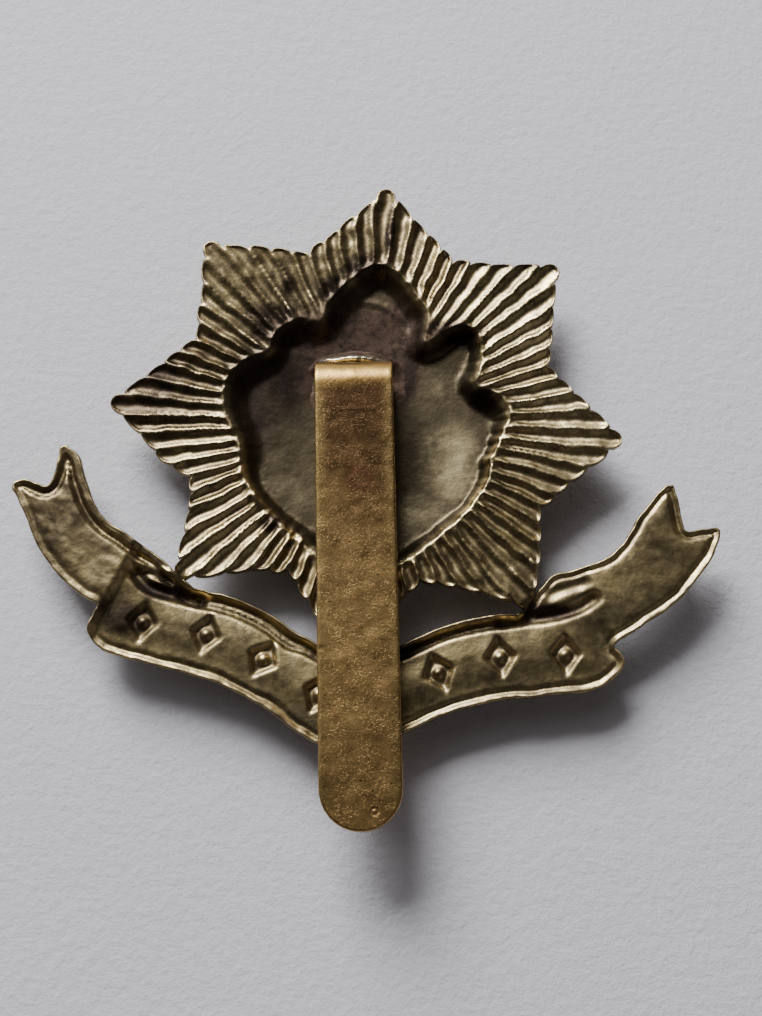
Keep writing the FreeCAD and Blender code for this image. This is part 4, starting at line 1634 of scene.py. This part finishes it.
@dataclass(frozen=True)
class HardSolder:
    """Silver solder: bright where it stands proud, stained copper-brown where it thins out."""

    silver: Colour = (0.56, 0.5, 0.36, 1.0)
    copper: Colour = (0.075, 0.047, 0.033, 1.0)
    dark: Colour = (0.025, 0.016, 0.012, 1.0)

    def make(self, effects: Effects) -> bpy.types.Material:
        """Build the material from the run's painted height and the shared effects.

        Args:
            effects: Shared node groups.

        Returns:
            The material.
        """
        material, nodes = new_material("hard_solder_run")
        proud = nodes.attribute("proud")
        patina = nodes.group(effects.patina, hollow=0.2, patches=0.7)
        grain = nodes.group(effects.grain, grain=0.5, dents=1.0, scratches=0.0)
        ragged = nodes.plus(proud, nodes.swing(nodes.noise(0.8, 4.0, 0.6), 0.8))
        colour = nodes.mix(nodes.times(patina.outputs["Tarnish"], 0.6), self.copper, self.dark)
        colour = nodes.mix(nodes.ramp(ragged, 0.35, 0.75), colour, self.silver)
        rough = nodes.ramp(ragged, 0.2, 0.8, 0.6, 0.26)
        nodes.surface(colour, rough, nodes.ramp(ragged, 0.1, 0.5, 0.85, 1.0), grain.outputs["Height"], 0.06)
        return material


@dataclass(frozen=True)
class GildingMetal:
    """Gilding metal toned to a warm brown gold, dark in its stippled ground."""

    gold: Colour = (0.62, 0.4, 0.2, 1.0)
    brown: Colour = (0.2, 0.105, 0.05, 1.0)
    black: Colour = (0.04, 0.025, 0.017, 1.0)

    def make(self, effects: Effects) -> bpy.types.Material:
        """Build the material from the overlay's painted depth and the shared effects.

        Args:
            effects: Shared node groups.

        Returns:
            The material.
        """
        material, nodes = new_material("gilding_metal_toned")
        patina = nodes.group(effects.patina, hollow=nodes.attribute("hollow"), patches=0.3)
        grain = nodes.group(effects.grain, grain=0.3, dents=0.3, scratches=0.15)
        colour = nodes.mix(nodes.ramp(nodes.noise(2.5, 4.0, 0.6), 0.35, 0.7), self.gold, self.brown)
        colour = nodes.mix(patina.outputs["Tarnish"], colour, self.black)
        rough = nodes.ramp(patina.outputs["Tarnish"], 0.0, 1.0, 0.28, 0.6)
        nodes.surface(colour, rough, 1.0, grain.outputs["Height"], 0.03)
        return material


def dress(piece: bpy.types.Object, material: bpy.types.Material) -> None:
    """Give a piece one material."""
    piece.data.materials.clear()
    piece.data.materials.append(material)


# --- studio --------------------------------------------------------------------------------------


@dataclass
class Studio:
    """Pale paper floor, a soft window light from the upper left, a weak fill and the camera."""

    floor_half: float = 2.0
    paper: Colour = (0.575, 0.565, 0.6, 1.0)
    paper_cloud: Colour = (0.45, 0.45, 0.47, 1.0)
    ceiling: Colour = (0.03, 0.027, 0.025, 1.0)
    horizon: Colour = (0.155, 0.125, 0.12, 1.0)
    window: Colour = (1.0, 1.0, 1.05, 1.0)
    window_side: tuple[float, float, float] = (-0.45, 0.8, 0.35)
    key_from: tuple[float, float, float] = (-0.225, 0.435, 0.345)
    key_size: float = 0.315
    key_power: float = 8.0
    fill_from: tuple[float, float, float] = (0.6, -0.5, 0.5)
    fill_size: float = 0.8
    fill_power: float = 0.35
    eye: tuple[float, float, float] = (5.04, -33.19, 119.67)
    turn: tuple[float, float, float] = (15.47, 0.56, 4.58)
    lens: float = 53.15

    def build_floor(self) -> None:
        """Square of paper just under the badge."""
        mesh = bpy.data.meshes.new("paper")
        half = self.floor_half
        low = cad_low.z - 0.02 * MM
        corners = [(-half, -half, low), (half, -half, low), (half, half, low), (-half, half, low)]
        mesh.from_pydata(corners, [], [(0, 1, 2, 3)])
        floor = bpy.data.objects.new("paper", mesh)
        bpy.context.scene.collection.objects.link(floor)
        material, nodes = new_material("paper")
        fibre = nodes.plus(nodes.noise(0.9, 6.0, 0.7), nodes.noise(14.0, 3.0, 0.5))
        cloudy = nodes.ramp(nodes.noise(60.0, 3.0, 0.5), 0.3, 0.7, 0.0, 0.06)
        tone = nodes.mix(cloudy, self.paper, self.paper_cloud)
        bump = nodes.add("ShaderNodeBump", {"Height": fibre, "Distance": 0.16 * MM, "Strength": 1.0})
        inputs = {"Base Color": tone, "Roughness": 0.9, "Normal": bump.outputs["Normal"]}
        shader = nodes.add("ShaderNodeBsdfPrincipled", inputs)
        nodes.tree.links.new(shader.outputs["BSDF"], nodes.add("ShaderNodeOutputMaterial").inputs["Surface"])
        dress(floor, material)

    def add_light(self, name: str, place: tuple[float, float, float], size: float, power: float) -> None:
        """Square area light aimed at the badge.

        Args:
            name: Name of the light.
            place: Where it hangs, in metres.
            size: Side of the square, in metres.
            power: Watts.
        """
        lamp = bpy.data.lights.new(name, "AREA")
        lamp.size = size
        lamp.energy = power
        light = bpy.data.objects.new(name, lamp)
        light.location = place
        light.rotation_euler = (-Vector(place)).to_track_quat("-Z", "Y").to_euler()
        bpy.context.scene.collection.objects.link(light)

    def build_lights(self) -> None:
        """Sky, key light and fill."""
        world = bpy.data.worlds.new("room")
        world.use_nodes = True
        nodes = Nodes(world.node_tree)
        way = nodes.add("ShaderNodeTexCoord").outputs["Generated"]
        up = nodes.add("ShaderNodeSeparateXYZ", {"Vector": way}).outputs["Z"]
        facing = nodes.add("ShaderNodeVectorMath", {0: way, 1: self.window_side}, operation="DOT_PRODUCT")
        light = nodes.mix(nodes.ramp(up, 0.25, 0.75), self.horizon, self.ceiling)
        light = nodes.mix(nodes.ramp(facing.outputs["Value"], 0.45, 1.0), light, self.window)
        nodes.tree.links.new(light, nodes.tree.nodes["Background"].inputs["Color"])
        bpy.context.scene.world = world
        self.add_light("key", self.key_from, self.key_size, self.key_power)
        self.add_light("fill", self.fill_from, self.fill_size, self.fill_power)

    def build_camera(self) -> None:
        """Camera above the slider's free end, tipped towards the star."""
        lens = bpy.data.cameras.new("camera")
        lens.lens = self.lens
        lens.clip_start = 0.005
        camera = bpy.data.objects.new("camera", lens)
        camera.location = Vector(self.eye) * MM
        camera.rotation_euler = [np.radians(angle) for angle in self.turn]
        bpy.context.scene.collection.objects.link(camera)
        bpy.context.scene.camera = camera


def main() -> None:
    """Build the badge piece by piece, dress it and set the studio."""
    logging.basicConfig(level=logging.INFO, format="%(name)s: %(message)s")
    effects = Effects(patina_group(), grain_group())
    solder = HardSolder().make(effects)
    plate = StarScrollPlate()
    dress(plate.build(), NickelSilver().make(effects))
    slider = Slider()
    dress(slider.build(), SliderBrass().make(effects))
    dress(SliderBraze(slider).build(), solder)
    dress(CentreDevice(plate.recess).build(), GildingMetal().make(effects))
    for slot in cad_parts["device_braze"].material_slots:
        slot.material = solder
    studio = Studio()
    studio.build_floor()
    studio.build_lights()
    studio.build_camera()


if __name__ == "__main__":
    main()
